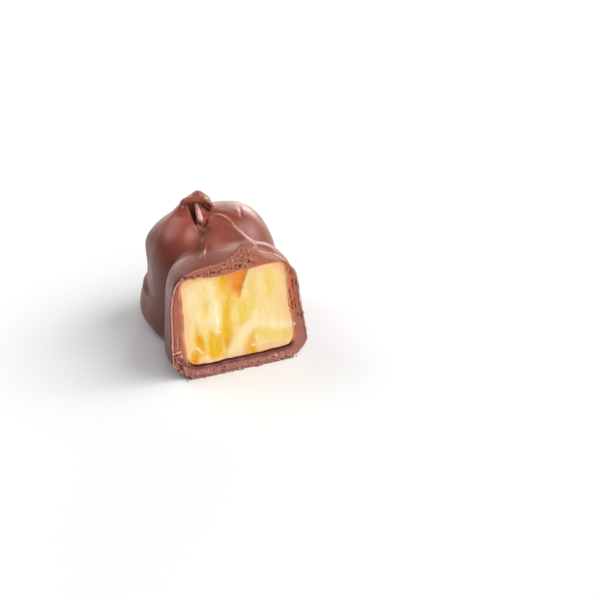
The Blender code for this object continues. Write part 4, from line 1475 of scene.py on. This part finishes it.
def camera_matrix():
    """Where the camera stands: from the aim point back along the line of sight, moved sideways so that the aim point
    lands on its pixel."""
    bearing, height, roll = np.radians([CAMERA_BEARING, CAMERA_HEIGHT, CAMERA_ROLL])
    back = np.array([-np.sin(bearing) * np.cos(height), -np.cos(bearing) * np.cos(height), np.sin(height)])
    level_right = np.array([np.cos(bearing), -np.sin(bearing), 0])
    level_up = np.cross(back, level_right)
    right = np.cos(roll) * level_right - np.sin(roll) * level_up
    up = np.sin(roll) * level_right + np.cos(roll) * level_up
    focal_pixels = CAMERA_LENS / CAMERA_SENSOR * PICTURE_SIDE
    distance = focal_pixels / PIXELS_PER_MM
    across, down = (np.array(AIM_PIXEL) - PICTURE_SIDE / 2) / focal_pixels * distance
    place = np.array(AIM_POINT) + distance * back - across * right + down * up
    matrix = np.eye(4)
    matrix[:3, 0], matrix[:3, 1], matrix[:3, 2], matrix[:3, 3] = right, up, back, place * MM
    return Matrix(matrix.tolist())


def lamp(name, place_mm, energy, width_degrees):
    """A far lamp that looks at the chocolate's middle and appears that wide from there."""
    data = bpy.data.lights.new(name, "SUN")
    data.energy = energy
    data.angle = np.radians(width_degrees)
    obj = bpy.data.objects.new(name, data)
    place = np.array(place_mm) * MM
    toward = np.array(LAMP_TARGET) * MM - place
    obj.matrix_world = Matrix.Translation(place) @ aimed(toward)
    bpy.context.scene.collection.objects.link(obj)


def aimed(toward):
    """A turn that points an object's -Z along a direction."""
    back = -toward / np.linalg.norm(toward)
    right = np.cross((0, 0, 1), back)
    right /= np.linalg.norm(right)
    turn = np.eye(4)
    turn[:3, 0], turn[:3, 1], turn[:3, 2] = right, np.cross(back, right), back
    return Matrix(turn.tolist())


def room(light):
    """A faint light from all round, with a bright band low down behind the chocolate on the right, where the white
    table runs up into the background."""
    world = bpy.data.worlds.new("room")
    world.use_nodes = True
    tree = world.node_tree
    direction = add_node(tree, "ShaderNodeTexCoord").outputs["Generated"]
    bearing = np.radians(HORIZON_BEARING)
    inputs = {0: direction, 1: (np.sin(bearing), np.cos(bearing), 0)}
    facing = add_node(tree, "ShaderNodeVectorMath", inputs, operation="DOT_PRODUCT").outputs["Value"]
    height = add_node(tree, "ShaderNodeSeparateXYZ", {"Vector": direction}).outputs["Z"]
    ranges = (range_inputs(height, *HORIZON_TOP), range_inputs(facing, *HORIZON_SIDES, 0.0, light.horizon))
    low_down, behind = (add_node(tree, "ShaderNodeMapRange", inputs).outputs["Result"] for inputs in ranges)
    inputs = {0: low_down, 1: behind, 2: light.sky}
    total = add_node(tree, "ShaderNodeMath", inputs, operation="MULTIPLY_ADD").outputs["Value"]
    set_inputs(tree, tree.nodes["Background"], {"Color": (*light.horizon_colour, 1), "Strength": total})
    return world


def place_camera(scene):
    """Adds the scene's camera where the photograph was taken from."""
    data = bpy.data.cameras.new("camera")
    data.lens, data.sensor_width = CAMERA_LENS, CAMERA_SENSOR
    data.clip_start, data.clip_end = CLIP_NEAR, CLIP_FAR
    camera = bpy.data.objects.new("camera", data)
    camera.matrix_world = camera_matrix()
    scene.collection.objects.link(camera)
    scene.camera = camera


def lay_table(colours):
    """Adds the white table, and the backdrop, which is a sphere far round it that only the camera sees."""
    corners = [(x * TABLE_HALF, y * TABLE_HALF, -TABLE_DROP) for x, y in ((-1, -1), (1, -1), (1, 1), (-1, 1))]
    table = mesh_piece("table", corners, [(0, 1, 2, 3)])
    table.data.materials.append(matt_board(colours))
    tilt = np.radians(np.linspace(BACKDROP_FOOT, BACKDROP_CROWN, BACKDROP_ROWS))
    backdrop = grid_piece("backdrop", BACKDROP_RADIUS * sphere_points(tilt, turns(BACKDROP_COLUMNS)))
    backdrop.data.materials.append(lit_paper(colours))
    for ray in ("diffuse", "glossy", "transmission", "shadow"):
        setattr(backdrop, f"visible_{ray}", False)


class CHOCOLATE_OT_stage(bpy.types.Operator):
    """Sets up the camera, the white table and the soft studio light"""

    bl_idname = "chocolate.stage"
    bl_label = "Stage"

    def execute(self, context):
        scene = context.scene
        light = scene.chocolate_light
        place_camera(scene)
        lay_table(scene.chocolate_colours)
        for name, (place, width) in LAMPS.items():
            lamp(name, place, getattr(light, name), width)
        scene.world = room(light)
        scene.view_settings.view_transform = "Standard"
        scene.view_settings.look = "None"
        return {"FINISHED"}


class CHOCOLATE_PT_panel(bpy.types.Panel):
    """Lists the chocolate's pieces and settings in the sidebar"""

    bl_idname = "CHOCOLATE_PT_panel"
    bl_label = "Filled chocolate"
    bl_space_type = "VIEW_3D"
    bl_region_type = "UI"
    bl_category = "Chocolate"

    def draw(self, context):
        for operator in OPERATORS:
            self.layout.operator(operator.bl_idname)
        for name, group in GROUPS.items():
            box = self.layout.box()
            for key in group.__annotations__:
                box.prop(getattr(context.scene, name), key)


OPERATORS = (
    CHOCOLATE_OT_stage,
    CHOCOLATE_OT_coating,
    CHOCOLATE_OT_cut_face,
    CHOCOLATE_OT_crumbs,
    CHOCOLATE_OT_fork_swirl,
    CHOCOLATE_OT_cream,
)
GROUPS = {
    "chocolate_sizes": ChocolateSizes,
    "chocolate_colours": ChocolateColours,
    "chocolate_light": ChocolateLight,
}
# What Blender's own start-up scene holds
START_UP_OBJECTS = ("Cube", "Light", "Camera")


def register():
    """Registers the classes and hangs the settings on the scene."""
    for cls in (*GROUPS.values(), *OPERATORS, CHOCOLATE_PT_panel):
        bpy.utils.register_class(cls)
    for name, group in GROUPS.items():
        setattr(bpy.types.Scene, name, bpy.props.PointerProperty(type=group))


def unregister():
    """Takes the settings off the scene and unregisters the classes."""
    for name in GROUPS:
        delattr(bpy.types.Scene, name)
    for cls in (CHOCOLATE_PT_panel, *reversed(OPERATORS), *GROUPS.values()):
        bpy.utils.unregister_class(cls)


def main():
    """Clears Blender's own start-up objects and builds all pieces in order."""
    for name in START_UP_OBJECTS:
        if name in bpy.data.objects:
            bpy.data.objects.remove(bpy.data.objects[name], do_unlink=True)
    register()
    for operator in OPERATORS:
        name = operator.bl_idname.partition(".")[2]
        getattr(bpy.ops.chocolate, name)()


if __name__ == "__main__":
    main()
